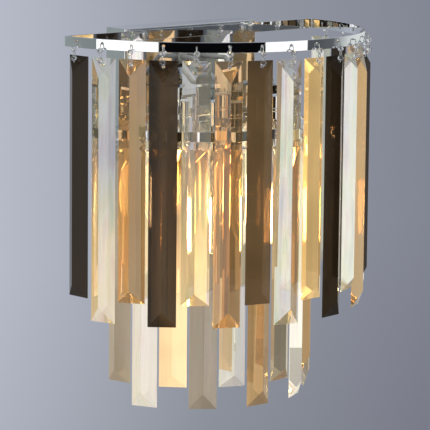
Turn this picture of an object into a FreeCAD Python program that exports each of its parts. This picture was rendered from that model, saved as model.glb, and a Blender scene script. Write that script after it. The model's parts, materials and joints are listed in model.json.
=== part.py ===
import FreeCAD, Part
import math
import os

# Crystal wall sconce with two lamps, in millimetres, +Z up.
# The wall is the plane Y = 0 and the front of the sconce faces -Y. The origin is the
# middle of the two wall screw holes. A shallow pan covers the wiring on the wall. Two
# half-round bands of flat strip stand in front of it, the wide one near the top and the
# narrow one lower down, and a row of hanging prisms swings from each of them.

Vector = FreeCAD.Vector
Rotation = FreeCAD.Rotation
Placement = FreeCAD.Placement

# turns a piece that stands up so that it points out of the wall
FRONT = Rotation(Vector(1, 0, 0), 90)

SIZES = {
    # wall side
    "pan_width": 132.0,
    "pan_height": 200.0,
    "pan_depth": 21.0,
    "pan_sheet": 1.2,
    "pan_bend": 1.5,
    "bar_length": 122.0,
    "bar_width": 22.0,
    "bar_sheet": 2.0,
    "wall_screw_spacing": 60.0,
    "wall_screw_hole": 5.5,
    "bar_stud_spacing": 100.0,
    "bar_stud_size": 4.0,
    "hole_clearance": 0.25,
    "cap_nut_size": 8.0,
    "cap_nut_length": 8.0,
    "cap_nut_dome": 6.8,
    "cap_nut_end": 3.2,
    # bands
    "band_height": 7.5,
    "band_sheet": 1.5,
    "band_bend": 2.5,
    "outer_half_width": 125.0,
    "outer_flank": 5.0,
    "outer_below_pan_top": 2.0,
    "inner_half_width": 85.5,
    "inner_flank": 3.0,
    "inner_below_outer": 68.0,
    "hanging_hole": 1.8,
    "hanging_hole_depth": 3.0,
    "end_margin": 14.0,
    "outer_count": 17,
    "inner_count": 12,
    # prisms
    "prism_width": 20.5,
    "prism_thickness": 6.5,
    "short_length": 174.0,
    "long_length": 190.0,
    "short_top_bevel": 11.5,
    "short_foot_bevel": 9.5,
    "long_top_bevel": 15.5,
    "long_foot_bevel": 12.0,
    "prism_drop": 13.1,
    "prism_hole": 2.4,
    "prism_hole_depth": 4.5,
    "prism_setback": 2.5,
    "prism_balance": 0.325,
    # hanging links
    "wire_size": 0.8,
    "link_standoff": 2.6,
    "wire_tail": 2.2,
    "band_wire_gap": 0.1,
    "prism_wire_gap": 0.4,
    "bead_width": 4.8,
    "bead_table": 2.4,
    "bead_height": 3.6,
    "upper_bead_drop": 5.0,
    "lower_bead_drop": 11.7,
    # lamps
    "lamp_spacing": 68.0,
    "lamp_forward": 46.0,
    "lamp_top_below_outer": 47.0,
    "bracket_width": 18.0,
    "bracket_stem": 24.0,
    "bracket_foot": 18.0,
    "bracket_sheet": 2.0,
    "bracket_overhang": 12.0,
    "bracket_round": 8.0,
    "nipple_size": 10.0,
    "nipple_bore": 7.2,
    "nipple_length": 22.0,
    "nipple_above": 9.0,
    "nipple_nut_width": 14.0,
    "nipple_nut_height": 4.0,
    "cup_size": 30.0,
    "cup_height": 39.0,
    "cup_sheet": 1.0,
    "thread_clearance": 0.05,
    "holder_size": 25.0,
    "holder_above_mouth": 4.0,
    "socket_bore": 14.4,
    "socket_depth": 20.0,
    "socket_web": 2.0,
    "contact_size": 6.0,
    "contact_height": 1.0,
    "bulb_cap_clearance": 0.3,
    "bulb_neck_size": 17.0,
    "bulb_neck_height": 14.0,
    "bulb_size": 35.0,
    "bulb_shoulder": 20.0,
    "bulb_tip": 48.0,
    "bulb_upper": 36.0,
    # wiring and fixings
    "lead_size": 3.6,
    "lead_spacing": 20.0,
    "lead_rise": 14.0,
    "lead_run_in": 12.0,
    "grommet_flange": 9.0,
    "grommet_sheet": 1.0,
    "screw_size": 3.0,
    "screw_head": 5.6,
    "screw_head_height": 1.8,
    "screw_length": 8.0,
    "nut_width": 5.5,
    "nut_height": 2.4,
    "band_screw_spacing": 100.0,
    "bracket_screw_spacing": 14.0,
    "block_width": 30.0,
    "block_height": 13.0,
    "block_depth": 14.0,
    "block_screw": 3.2,
    "block_above_leads": 9.0,
    "earth_size": 4.0,
    "earth_length": 12.0,
    "earth_side": 40.0,
    "earth_drop": 16.0,
    "earth_nut": 7.0,
    "earth_nut_height": 3.2,
    "earth_lead": 2.4,
}

# how much of the shorter run beside a corner of a lead its arc takes up
BEND_SHARE = 0.45

# how much of the straight beside it a rounded corner may use up
ROUND_SHARE = 0.9

# flats that stand for a round: small pins and holes, threaded tubes, bulbs, cups and leads
PIN_FLATS = 8
TUBE_FLATS = 12
BULB_FLATS = 20
CUP_FLATS = 24
LEAD_FLATS = 6

# degrees that a lead turns from one flat of its bend to the next, at most
LEAD_TURN = 23.0

# how far down its lower oval each ring of flats of a bulb lies, as a share of its height
BULB_RINGS = (0.4, 0.75, 0.93, 0.99)

# small turns of the hanging prisms about their links, in degrees, left to right
OUTER_TURNS = (-4, 0, 3, 8, -3, 4, 6, -2, 3, -4, 2, -3, 4, 0, -3, 2, 4)
INNER_TURNS = (2, -1, 2, -3, 1, 3, -2, 2, -1, 3, -2, 1)


def cell(row):
    """The address of the value cell in a row of the sheet."""
    return "B%d" % row


def make_sheet(doc):
    """Put every driving size in a sheet, each with its alias."""
    sheet = doc.addObject("Spreadsheet::Sheet", "sizes")
    for row, (alias, value) in enumerate(SIZES.items(), start=1):
        sheet.set("A%d" % row, alias)
        sheet.set(cell(row), str(value))
        sheet.setAlias(cell(row), alias)
    doc.recompute()
    return sheet


# places worked out from the sizes, each an expression over the sheet
LAYOUT = {
    "pan_front": "-sizes.pan_depth",
    "bar_front": "-sizes.bar_sheet",
    "stud_grip": "sizes.cap_nut_length - sizes.cap_nut_end",
    "outer_top": "sizes.pan_height / 2 - sizes.outer_below_pan_top",
    "inner_top": "layout.outer_top - sizes.inner_below_outer",
    "outer_mid_radius": "sizes.outer_half_width - sizes.band_sheet / 2",
    "inner_mid_radius": "sizes.inner_half_width - sizes.band_sheet / 2",
    "outer_centre": "layout.pan_front - sizes.outer_flank",
    "inner_centre": "layout.pan_front - sizes.inner_flank",
    "outer_first": "(sizes.end_margin - sizes.outer_flank) / layout.outer_mid_radius * 180 / pi",
    "inner_first": "(sizes.end_margin - sizes.inner_flank) / layout.inner_mid_radius * 180 / pi",
    "outer_step": "(180 - 2 * layout.outer_first) / (sizes.outer_count - 1)",
    "inner_step": "(180 - 2 * layout.inner_first) / (sizes.inner_count - 1)",
    "pin_below_top": "sizes.prism_drop + sizes.prism_hole_depth",
    "pin_inset": "sizes.prism_thickness * sizes.prism_balance",
    "outer_pin_radius": "sizes.outer_half_width - sizes.prism_setback + layout.pin_inset",
    "inner_pin_radius": "sizes.inner_half_width - sizes.prism_setback + layout.pin_inset",
    "lamp_side": "sizes.lamp_spacing / 2",
    "lamp_line": "layout.pan_front - sizes.lamp_forward",
    "cup_top": "layout.outer_top - sizes.lamp_top_below_outer",
    "cup_mouth": "layout.cup_top - sizes.cup_height",
    "bracket_top": "layout.cup_top + sizes.bracket_sheet",
    "holder_top": "layout.cup_top - sizes.cup_sheet",
    "holder_foot": "layout.cup_mouth + sizes.holder_above_mouth",
    "socket_top": "layout.holder_foot + sizes.socket_depth",
    "socket_ceiling": "layout.socket_top + sizes.socket_web",
    "bulb_cap_top": "layout.socket_top - sizes.contact_height",
    "bulb_neck_foot": "layout.holder_foot - sizes.bulb_neck_height",
    "bulb_waist": "layout.bulb_neck_foot - sizes.bulb_shoulder",
    "nipple_top": "layout.bracket_top + sizes.nipple_above",
    "lead_level": "layout.nipple_top + sizes.lead_rise",
    "bracket_screw_level": "layout.cup_top - sizes.bracket_foot / 2",
    "pan_inside": "layout.pan_front + sizes.pan_sheet",
    "block_foot": "layout.lead_level + sizes.block_above_leads",
    "block_middle": "layout.pan_inside + sizes.block_depth / 2",
    "earth_level": "layout.lead_level - sizes.earth_drop",
}


def make_layout(doc):
    """Hold the worked-out places in one object, bound to the sheet."""
    layout = doc.addObject("App::VarSet", "layout")
    for name, text in LAYOUT.items():
        layout.addProperty("App::PropertyFloat", name, "Places")
        layout.setExpression(name, text.replace("layout.", ""))
    doc.recompute()
    return layout


def bind(item, **texts):
    """Bind properties of an object to expressions; x, y, z and turn are its placement."""
    paths = {
        "x": "Placement.Base.x",
        "y": "Placement.Base.y",
        "z": "Placement.Base.z",
        "turn": "Placement.Rotation.Angle",
    }
    for name, text in texts.items():
        item.setExpression(paths.get(name, name), str(text))
    return item


class Workshop:
    """Makes the sconce's pieces in one document."""

    def __init__(self):
        self.doc = FreeCAD.newDocument("crystal_wall_sconce")
        self.sizes = make_sheet(self.doc)
        self.layout = make_layout(self.doc)
        self.nodes = []

    # basic shapes

    def box(self, length, width, height, x="0", y="0", z="0"):
        """A box with its low corner at x, y, z."""
        item = self.doc.addObject("Part::Box", "box")
        return bind(item, Length=length, Width=width, Height=height, x=x, y=y, z=z)

    def rod(self, radius, height, x="0", y="0", z="0", along=None):
        """A cylinder from x, y, z, up the Z axis or turned by the rotation along."""
        item = self.doc.addObject("Part::Cylinder", "rod")
        if along:
            item.Placement = Placement(Vector(), along)
        return bind(item, Radius=radius, Height=height, x=x, y=y, z=z)

    def bar(self, sides, across_flats, height, x="0", y="0", z="0", along=None):
        """A many-sided bar given by its width across flats."""
        item = self.doc.addObject("Part::Prism", "bar")
        item.Polygon = sides
        if along:
            item.Placement = Placement(Vector(), along)
        radius = "(%s) / 2 / cos(%s)" % (across_flats, 180 / sides)
        return bind(item, Circumradius=radius, Height=height, x=x, y=y, z=z)

    def hexagon(self, across_flats, height, x="0", y="0", z="0", along=None):
        """A hexagonal bar, as of a nut."""
        return self.bar(6, across_flats, height, x, y, z, along)

    def pin(self, width, height, x="0", y="0", z="0", along=None):
        """A small round piece or hole in a few flats, which keeps the mesh light."""
        return self.bar(PIN_FLATS, width, height, x, y, z, along)

    def cut(self, base, *tools):
        """The base with every tool cut out of it, one after another."""
        for tool in tools:
            item = self.doc.addObject("Part::Cut", "cut")
            item.Base = base
            item.Tool = tool
            base = item
        return item

    def bunch(self, parts):
        """Parts that stand apart, such as a row of holes, as one object."""
        item = self.doc.addObject("Part::Compound", "bunch")
        item.Links = list(parts)
        return item

    def fuse(self, *parts):
        """The parts joined into one solid."""
        item = self.doc.addObject("Part::MultiFuse", "fuse")
        item.Shapes = list(parts)
        item.Refine = True
        return item

    def group(self, label, *parts):
        """A node of identical pieces kept as separate solids."""
        return self.node(label, self.bunch(parts))

    def fillet(self, base, radius, wanted):
        """Round the edges of base for which wanted(edge) is true."""
        self.doc.recompute()
        edges = [
            (index, radius, radius)
            for index, edge in enumerate(base.Shape.Edges, start=1)
            if wanted(edge)
        ]
        item = self.doc.addObject("Part::Fillet", "fillet")
        item.Base = base
        item.Edges = edges
        return item

    def shaped(self, shape):
        """A feature that holds a shape made with the Part functions."""
        item = self.doc.addObject("Part::Feature", "shaped")
        item.Shape = shape
        return item

    def node(self, label, item):
        """Name a finished piece."""
        item.Label = label
        self.nodes.append(item)
        return item

    # wall side

    def wall_bar(self):
        """The flat bar on the wall, with its screw holes, and the studs that stand on it."""
        bar = self.box(
            "sizes.bar_length", "sizes.bar_sheet", "sizes.bar_width",
            "-sizes.bar_length / 2", "layout.bar_front", "-sizes.bar_width / 2",
        )
        holes = [
            self.rod("sizes.wall_screw_hole / 2", "3 * sizes.bar_sheet",
                     "%d * sizes.wall_screw_spacing / 2" % side, "sizes.bar_sheet",
                     along=FRONT)
            for side in (-1, 1)
        ]
        self.node("wall_bar", self.cut(bar, *holes))
        studs = [
            self.pin("sizes.bar_stud_size * cos(22.5)",
                     "sizes.pan_depth - sizes.bar_sheet + layout.stud_grip",
                     "%d * sizes.bar_stud_spacing / 2" % side, "layout.bar_front",
                     along=FRONT)
            for side in (-1, 1)
        ]
        self.group("bar_studs", *studs)

    def cap_nuts(self):
        """Closed nuts that draw the pan to the bar: a hexagon with a cap on it."""
        nuts = []
        for side in (-1, 1):
            x = "%d * sizes.bar_stud_spacing / 2" % side
            body = self.hexagon("sizes.cap_nut_size", "sizes.cap_nut_length / 2", x,
                                "layout.pan_front", along=FRONT)
            dome = self.pin("sizes.cap_nut_dome", "sizes.cap_nut_length", x,
                            "layout.pan_front", along=FRONT)
            thread = self.pin("sizes.bar_stud_size + 2 * sizes.thread_clearance",
                              "layout.stud_grip + sizes.hole_clearance", x,
                              "layout.pan_front", along=FRONT)
            nuts.append(self.cut(self.fuse(body, dome), thread))
        self.group("cap_nuts", *nuts)

    def wall_pan(self):
        """The shallow pan over the wiring: folded sheet, open to the wall."""
        block = self.box(
            "sizes.pan_width", "sizes.pan_depth", "sizes.pan_height",
            "-sizes.pan_width / 2", "layout.pan_front", "-sizes.pan_height / 2",
        )
        front = float(self.layout.pan_front)

        def on_front(edge):
            return all(abs(v.Y - front) < 0.01 for v in edge.Vertexes)

        rounded = self.fillet(block, float(self.sizes.pan_bend), on_front)
        inside = self.box(
            "sizes.pan_width - 2 * sizes.pan_sheet", "sizes.pan_depth",
            "sizes.pan_height - 2 * sizes.pan_sheet",
            "-sizes.pan_width / 2 + sizes.pan_sheet", "layout.pan_inside",
            "-sizes.pan_height / 2 + sizes.pan_sheet",
        )
        holes = []
        reach = "3 * sizes.pan_sheet"
        start = "layout.pan_inside + sizes.pan_sheet"
        for side in (-1, 1):
            holes.append(self.pin("sizes.bar_stud_size + 2 * sizes.hole_clearance", reach,
                                  "%d * sizes.bar_stud_spacing / 2" % side, start,
                                  along=FRONT))
            holes.append(self.pin("sizes.lead_size + 2 * sizes.grommet_sheet", reach,
                                  "%d * sizes.lead_spacing / 2" % side, start,
                                  "layout.lead_level", along=FRONT))
        for x, z in self.screw_places():
            holes.append(self.pin("sizes.screw_size + sizes.hole_clearance", reach,
                                  x, start, z, along=FRONT))
        self.node("wall_pan", self.cut(rounded, inside, self.bunch(holes)))

    def screw_places(self):
        """Where the frame screws go through the pan: x and z expressions."""
        places = []
        for side in (-1, 1):
            for top in ("layout.outer_top", "layout.inner_top"):
                places.append(("%d * sizes.band_screw_spacing / 2" % side,
                               "%s - sizes.band_height / 2" % top))
            places.append(("%d * sizes.bracket_screw_spacing / 2" % side,
                           "layout.bracket_screw_level"))
        return places

    def frame_screws(self):
        """Screws through the bands and the lamp bracket, with nuts inside the pan."""
        screws = []
        nuts = []
        for number, (x, z) in enumerate(self.screw_places()):
            seat = "sizes.bracket_sheet" if number % 3 == 2 else "sizes.band_sheet"
            face = "layout.pan_front - %s" % seat
            head = self.hexagon("sizes.screw_head", "sizes.screw_head_height", x, face, z,
                                along=FRONT)
            shank = self.pin("sizes.screw_size * cos(22.5)", "sizes.screw_length", x,
                             "%s + sizes.screw_length" % face, z, along=FRONT)
            screws.append(self.fuse(head, shank))
            body = self.hexagon("sizes.nut_width", "sizes.nut_height", x,
                                "layout.pan_inside + sizes.nut_height", z, along=FRONT)
            thread = self.pin("sizes.screw_size + 2 * sizes.thread_clearance",
                              "2 * sizes.nut_height", x,
                              "layout.pan_inside + 1.5 * sizes.nut_height", z, along=FRONT)
            nuts.append(self.cut(body, thread))
        self.group("frame_screws", *screws)
        self.group("frame_nuts", *nuts)

    # bands

    def band(self, tier, count):
        """A half-round band of flat strip with a straight back and a row of small holes."""
        top = "layout.%s_top" % tier
        centre = "layout.%s_centre" % tier
        half = "sizes.%s_half_width" % tier
        flank = "sizes.%s_flank" % tier
        foot = "%s - sizes.band_height" % top

        def half_round(inset):
            arc = self.doc.addObject("Part::Cylinder", "arc")
            arc.Placement = Placement(Vector(), Rotation(Vector(0, 0, 1), 180))
            arc.Angle = 180
            bind(arc, Radius="%s - %s" % (half, inset), Height="sizes.band_height",
                 y=centre, z=foot)
            back = self.box("2 * (%s - %s)" % (half, inset), "%s - %s" % (flank, inset),
                            "sizes.band_height", "-(%s - %s)" % (half, inset), centre, foot)
            return self.fuse(arc, back)

        edge = float(getattr(self.sizes, "%s_half_width" % tier))
        rear = float(self.layout.pan_front)

        def back_corner(edge_of):
            return all(abs(abs(v.X) - edge) < 0.01 and abs(v.Y - rear) < 0.01
                       for v in edge_of.Vertexes)

        whole = half_round("0")
        bend = min(float(self.sizes.band_bend),
                   ROUND_SHARE * float(getattr(self.sizes, "%s_flank" % tier)))
        outside = self.fillet(whole, bend, back_corner)
        hollow = half_round("sizes.band_sheet")
        holes = []
        for place in range(count):
            angle = "(layout.%s_first + %d * layout.%s_step)" % (tier, place, tier)
            reach = "(%s - 2 * sizes.band_sheet)" % half
            turn = math.radians(self.angles(tier, count)[place])
            outwards = Vector(-math.cos(turn), -math.sin(turn), 0)
            holes.append(self.hexagon(
                "sizes.hanging_hole", "3 * sizes.band_sheet",
                "-%s * cos(%s)" % (reach, angle),
                "%s - %s * sin(%s)" % (centre, reach, angle),
                "%s - sizes.hanging_hole_depth" % top,
                along=Rotation(Vector(0, 0, 1), outwards),
            ))
        for side in (-1, 1):
            holes.append(self.pin("sizes.screw_size + sizes.hole_clearance",
                                  "3 * sizes.band_sheet",
                                  "%d * sizes.band_screw_spacing / 2" % side,
                                  "layout.pan_front + sizes.band_sheet",
                                  "%s - sizes.band_height / 2" % top, along=FRONT))
        self.node("%s_band" % tier, self.cut(outside, hollow, self.bunch(holes)))

    def angles(self, tier, count):
        """The angles of a tier's hangers round the band, from its left end."""
        first = float(getattr(self.layout, "%s_first" % tier))
        step = float(getattr(self.layout, "%s_step" % tier))
        return [first + step * place for place in range(count)]

    # hanging prisms and their links

    def prism(self, label, tier, place, turn, kind):
        """A three-sided prism with both ends bevelled and a hole through its thin top."""
        length = "sizes.%s_length" % kind
        wedge = self.doc.addObject("Part::Wedge", "wedge")
        top = "sizes.prism_hole_depth"
        back = "-layout.pin_inset"
        bind(
            wedge,
            Xmin="-sizes.prism_width / 2", Xmax="sizes.prism_width / 2",
            X2min="0", X2max="0",
            Ymin=back, Ymax="%s + sizes.prism_thickness" % back,
            Zmin="%s - %s" % (top, length), Zmax=top,
            Z2min="%s - %s + sizes.%s_foot_bevel" % (top, length, kind),
            Z2max="%s - sizes.%s_top_bevel" % (top, kind),
        )
        hole = self.hexagon("sizes.prism_hole", "4 * sizes.prism_thickness", "0",
                            "2 * sizes.prism_thickness", "0", along=FRONT)
        item = self.cut(wedge, hole)
        angle = "(layout.%s_first + %d * layout.%s_step)" % (tier, place, tier)
        reach = "layout.%s_pin_radius" % tier
        bind(
            item,
            x="-%s * cos(%s)" % (reach, angle),
            y="layout.%s_centre - %s * sin(%s)" % (tier, reach, angle),
            z="layout.%s_top - layout.pin_below_top" % tier,
            turn="90 + %s + %s" % (angle, turn),
        )
        self.node(label, item)

    def hangers(self, tier, count):
        """The wires and the faceted beads that hang a tier's prisms from its band."""
        size = self.sizes
        face = float(getattr(size, "%s_half_width" % tier))
        back = face - size.prism_setback
        wire = float(size.wire_size)
        line = face + size.link_standoff
        hole = -float(size.hanging_hole_depth)
        upper = hole - size.upper_bead_drop
        lower = hole - size.lower_bead_drop
        pin = -float(self.layout.pin_below_top)
        half_bead = size.bead_height / 2

        def hook(inner_end, level, end_level):
            tail = level - size.wire_tail
            outer = line + wire / 2
            upwards = end_level > level
            if upwards:
                leg = [(outer, level - wire / 2), (outer, end_level),
                       (outer - wire, end_level), (outer - wire, level + wire / 2)]
            else:
                leg = [(outer - wire, level - wire / 2), (outer - wire, end_level),
                       (outer, end_level), (outer, level + wire / 2)]
            outline = [(inner_end, level + wire / 2), (inner_end, tail),
                       (inner_end + wire, tail), (inner_end + wire, level - wire / 2)] + leg
            return flat(outline, wire)

        def flat(outline, sheet):
            corners = [Vector(x, -sheet / 2, z) for x, z in outline]
            face = Part.Face(Part.makePolygon(corners + corners[:1]))
            return face.extrude(Vector(0, sheet, 0))

        def ring(low_z, high_z):
            middle = Vector(line, 0, (low_z + high_z) / 2)
            reach = (high_z - low_z) / 2 / math.cos(math.pi / 6)
            faces = []
            for radius in (reach, reach - wire):
                corners = [middle + Vector(-wire / 2, corner.x, corner.y)
                           for corner in corners_of(6, radius)]
                faces.append(Part.Face(Part.makePolygon(corners + corners[:1])))
            return faces[0].cut(faces[1]).Faces[0].extrude(Vector(wire, 0, 0))

        def bead(middle):
            rings = [(size.bead_table, middle + half_bead), (size.bead_width, middle),
                     (size.bead_table, middle - half_bead)]
            return faceted(rings, 6, line, 0)

        hook_end = face - size.band_sheet - size.band_wire_gap - wire
        pin_end = back - size.prism_wire_gap - wire
        wires = [
            hook(hook_end, hole, upper + half_bead),
            ring(lower + half_bead, upper - half_bead),
            hook(pin_end, pin, lower - half_bead),
        ]
        beads = [bead(upper), bead(lower)]
        self.node("%s_link_wires" % tier, self.shaped(self.around(tier, count, wires)))
        self.node("%s_link_beads" % tier, self.shaped(self.around(tier, count, beads)))

    def around(self, tier, count, solids):
        """Copies of the solids at each hanger, turned about the band's centre."""
        top = float(getattr(self.layout, "%s_top" % tier))
        centre = float(getattr(self.layout, "%s_centre" % tier))
        copies = []
        for angle in self.angles(tier, count):
            place = Placement(Vector(0, centre, top), Rotation(Vector(0, 0, 1), 180 + angle))
            for solid in solids:
                copy = solid.copy()
                copy.Placement = place
                copies.append(copy)
        return Part.makeCompound(copies)

    # lamps

    def lamp_bracket(self):
        """The flat bracket that carries both lamps, with its stem and foot on the pan."""
        half = "sizes.lamp_spacing / 2 + sizes.bracket_overhang"
        across = self.box("2 * (%s)" % half, "sizes.bracket_width", "sizes.bracket_sheet",
                          "-(%s)" % half, "layout.lamp_line - sizes.bracket_width / 2",
                          "layout.cup_top")
        self.doc.recompute()
        bend = min(float(self.sizes.bracket_round),
                   ROUND_SHARE * float(self.sizes.bracket_width) / 2)
        across = self.fillet(across, bend,
                             lambda edge: abs(edge.Vertexes[0].Z - edge.Vertexes[1].Z) > 0.1)
        stem = self.box("sizes.bracket_stem", "sizes.lamp_forward", "sizes.bracket_sheet",
                        "-sizes.bracket_stem / 2", "layout.lamp_line", "layout.cup_top")
        foot = self.box("sizes.bracket_stem", "sizes.bracket_sheet",
                        "sizes.bracket_foot + sizes.bracket_sheet",
                        "-sizes.bracket_stem / 2", "layout.pan_front - sizes.bracket_sheet",
                        "layout.cup_top - sizes.bracket_foot")
        holes = []
        for side in (-1, 1):
            holes.append(self.tube_hole("%d * layout.lamp_side" % side,
                                        "layout.cup_top - sizes.bracket_sheet",
                                        "layout.bracket_top + sizes.bracket_sheet"))
            holes.append(self.pin("sizes.screw_size + sizes.hole_clearance",
                                  "3 * sizes.bracket_sheet",
                                  "%d * sizes.bracket_screw_spacing / 2" % side,
                                  "layout.pan_front + sizes.bracket_sheet / 2",
                                  "layout.bracket_screw_level", along=FRONT))
        self.node("lamp_bracket", self.cut(self.fuse(across, stem, foot), self.bunch(holes)))

    def tube_hole(self, x, foot, top):
        """The hole that a lamp's threaded tube goes through."""
        width = "sizes.nipple_size + 2 * sizes.thread_clearance"
        return self.bar(TUBE_FLATS, width, "%s - (%s)" % (top, foot), x, "layout.lamp_line",
                        foot)

    def lamps(self):
        """Threaded tubes, nuts, cups, holders, contacts and bulbs of the two lamps."""
        tubes, nuts, contacts, caps, domes = [], [], [], [], []
        y = "layout.lamp_line"
        for side, name in ((-1, "left"), (1, "right")):
            x = "%d * layout.lamp_side" % side

            def stack(sides, width, foot, top):
                return self.bar(sides, width, "%s - (%s)" % (top, foot), x, y, foot)

            tube_foot = "layout.nipple_top - sizes.nipple_length"
            tubes.append(self.cut(
                stack(TUBE_FLATS, "sizes.nipple_size", tube_foot, "layout.nipple_top"),
                stack(PIN_FLATS, "sizes.nipple_bore", "%s - 1" % tube_foot,
                      "layout.nipple_top + 1")))
            nut_top = "layout.bracket_top + sizes.nipple_nut_height"
            nuts.append(self.cut(
                stack(6, "sizes.nipple_nut_width", "layout.bracket_top", nut_top),
                self.tube_hole(x, "layout.bracket_top - 1", nut_top + " + 1")))
            self.node("lamp_cup_%s" % name, self.cup(stack, x))
            self.node("lamp_holder_%s" % name, self.cut(
                stack(TUBE_FLATS, "sizes.holder_size", "layout.holder_foot",
                      "layout.holder_top"),
                stack(TUBE_FLATS, "sizes.socket_bore", "layout.holder_foot - 1",
                      "layout.socket_top"),
                self.tube_hole(x, "layout.socket_ceiling", "layout.holder_top + 1"),
            ))
            contacts.append(stack(PIN_FLATS, "sizes.contact_size", "layout.bulb_cap_top",
                                  "layout.socket_top"))
            caps.append(stack(TUBE_FLATS, "sizes.socket_bore - 2 * sizes.bulb_cap_clearance",
                              "layout.holder_foot", "layout.bulb_cap_top"))
            domes.append(self.bulb(side))
        self.group("lamp_nipples", *tubes)
        self.group("nipple_nuts", *nuts)
        self.group("socket_contacts", *contacts)
        self.group("bulb_caps", *caps)
        self.group("bulb_domes", *domes)

    def cup(self, stack, x):
        """A bright cup of many flats, closed above and open at its mouth."""
        body = stack(CUP_FLATS, "sizes.cup_size", "layout.cup_mouth", "layout.cup_top")
        hollow = stack(CUP_FLATS, "sizes.cup_size - 2 * sizes.cup_sheet",
                       "layout.cup_mouth - 1", "layout.holder_top")
        hole = self.tube_hole(x, "layout.holder_top - 1", "layout.cup_top + 1")
        return self.cut(body, hollow, hole)

    def bulb(self, side):
        """A candle bulb in flats: a neck, a shoulder and an oval that ends in a tip."""
        size = self.sizes
        place = self.layout

        def oval(share):
            return size.bulb_size * math.sqrt(1 - share ** 2)

        rings = [
            (size.bulb_neck_size, place.holder_foot),
            (oval(size.bulb_shoulder / size.bulb_upper), place.bulb_neck_foot),
            (size.bulb_size, place.bulb_waist),
        ]
        for share in BULB_RINGS:
            rings.append((oval(share), place.bulb_waist - share * size.bulb_tip))
        return self.shaped(faceted(rings, BULB_FLATS, side * place.lamp_side,
                                   place.lamp_line))

    # wiring

    def wiring(self):
        """Leads from the terminal block to the lamps, their grommets and the earth stud."""
        size = self.sizes
        place = self.layout
        leads, grommets = [], []
        for side in (-1, 1):
            entry = side * size.lead_spacing / 2
            level = place.lead_level
            points = [
                Vector(side * place.lamp_side, place.lamp_line, place.socket_ceiling),
                Vector(side * place.lamp_side, place.lamp_line, level),
                Vector(entry, place.pan_front - size.lead_run_in, level),
                Vector(entry, place.block_middle, level),
                Vector(entry, place.block_middle, place.block_foot),
            ]
            leads.append(tube(points, size.lead_size))
            x = "%d * sizes.lead_spacing / 2" % side
            flange = self.pin("sizes.grommet_flange", "sizes.grommet_sheet", x,
                              "layout.pan_front", "layout.lead_level", along=FRONT)
            sleeve = self.pin("sizes.lead_size + 2 * sizes.grommet_sheet",
                              "2 * sizes.pan_sheet", x,
                              "layout.pan_front + 2 * sizes.pan_sheet",
                              "layout.lead_level", along=FRONT)
            bore = self.pin("sizes.lead_size + 2 * sizes.thread_clearance",
                            "8 * sizes.pan_sheet", x,
                            "layout.pan_front + 4 * sizes.pan_sheet", "layout.lead_level",
                            along=FRONT)
            grommets.append(self.cut(self.fuse(flange, sleeve), bore))
        self.node("lamp_leads", self.shaped(Part.makeCompound(leads)))
        self.group("lead_grommets", *grommets)
        earth = [
            Vector(size.block_width / 2, place.block_middle,
                   place.block_foot + size.block_height / 2),
            Vector(size.earth_side, place.block_middle,
                   place.block_foot + size.block_height / 2),
            Vector(size.earth_side, place.block_middle,
                   place.earth_level + size.earth_size / 2 + size.thread_clearance),
        ]
        self.node("earth_lead", self.shaped(tube(earth, size.earth_lead)))

    def terminals(self):
        """The terminal block with its screws, and the earth stud with its nut."""
        block = self.box("sizes.block_width", "sizes.block_depth", "sizes.block_height",
                         "-sizes.block_width / 2", "layout.pan_inside", "layout.block_foot")
        wells, screws = [], []
        for column in (-1, 0, 1):
            for row in (1, 3):
                x = "%d * sizes.block_width / 3" % column
                z = "layout.block_foot + %d * sizes.block_height / 4" % row
                back = "layout.pan_inside + sizes.block_depth"
                wells.append(self.pin("sizes.block_screw + 2 * sizes.thread_clearance",
                                      "sizes.block_screw", x, back, z, along=FRONT))
                screws.append(self.pin("sizes.block_screw", "sizes.block_screw / 2", x,
                                       "%s - sizes.block_screw / 2" % back, z, along=FRONT))
        self.node("terminal_block", self.cut(block, self.bunch(wells)))
        self.group("terminal_screws", *screws)
        level = "layout.earth_level"
        self.node("earth_stud", self.pin("sizes.earth_size * cos(22.5)", "sizes.earth_length",
                                         "sizes.earth_side",
                                         "layout.pan_inside + sizes.earth_length", level,
                                         along=FRONT))
        nut = self.hexagon("sizes.earth_nut", "sizes.earth_nut_height", "sizes.earth_side",
                           "layout.pan_inside + sizes.earth_nut_height", level, along=FRONT)
        bore = self.pin("sizes.earth_size + 2 * sizes.thread_clearance",
                        "2 * sizes.earth_nut_height", "sizes.earth_side",
                        "layout.pan_inside + 1.5 * sizes.earth_nut_height", level,
                        along=FRONT)
        self.node("earth_nut", self.cut(nut, bore))

    # the whole

    def build(self):
        """Make every piece."""
        self.wall_bar()
        self.cap_nuts()
        self.wall_pan()
        self.lamp_bracket()
        self.frame_screws()
        self.lamps()
        self.wiring()
        self.terminals()
        for tier, turns in (("outer", OUTER_TURNS), ("inner", INNER_TURNS)):
            count = int(getattr(self.sizes, "%s_count" % tier))
            self.band(tier, count)
            self.hangers(tier, count)
            for place in range(count):
                kind = ("short", "long")[place % 2]
                turn = turns[place % len(turns)]
                self.prism("%s_prism_%02d" % (tier, place + 1), tier, place, turn, kind)
        self.doc.recompute()

    def check(self):
        """Stop if any object failed or any piece isn't a valid solid."""
        for item in self.doc.Objects:
            if "Invalid" in item.State or "Error" in item.State:
                raise RuntimeError("%s failed: %s" % (item.Name, item.State))
        for item in self.nodes:
            if item.Shape.isNull() or not item.Shape.isValid() or not item.Shape.Solids:
                raise RuntimeError("%s has no valid solid" % item.Label)

    def export(self):
        """Write one file for each piece."""
        os.makedirs("parts", exist_ok=True)
        for item in self.nodes:
            item.Shape.exportStep("parts/%s.step" % item.Label)


def corners_of(sides, reach, x=0.0, y=0.0, z=0.0):
    """The corners of a level polygon, with the first one along +X."""
    turns = [2 * math.pi / sides * side for side in range(sides)]
    return [Vector(x + reach * math.cos(turn), y + reach * math.sin(turn), z) for turn in turns]


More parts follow.
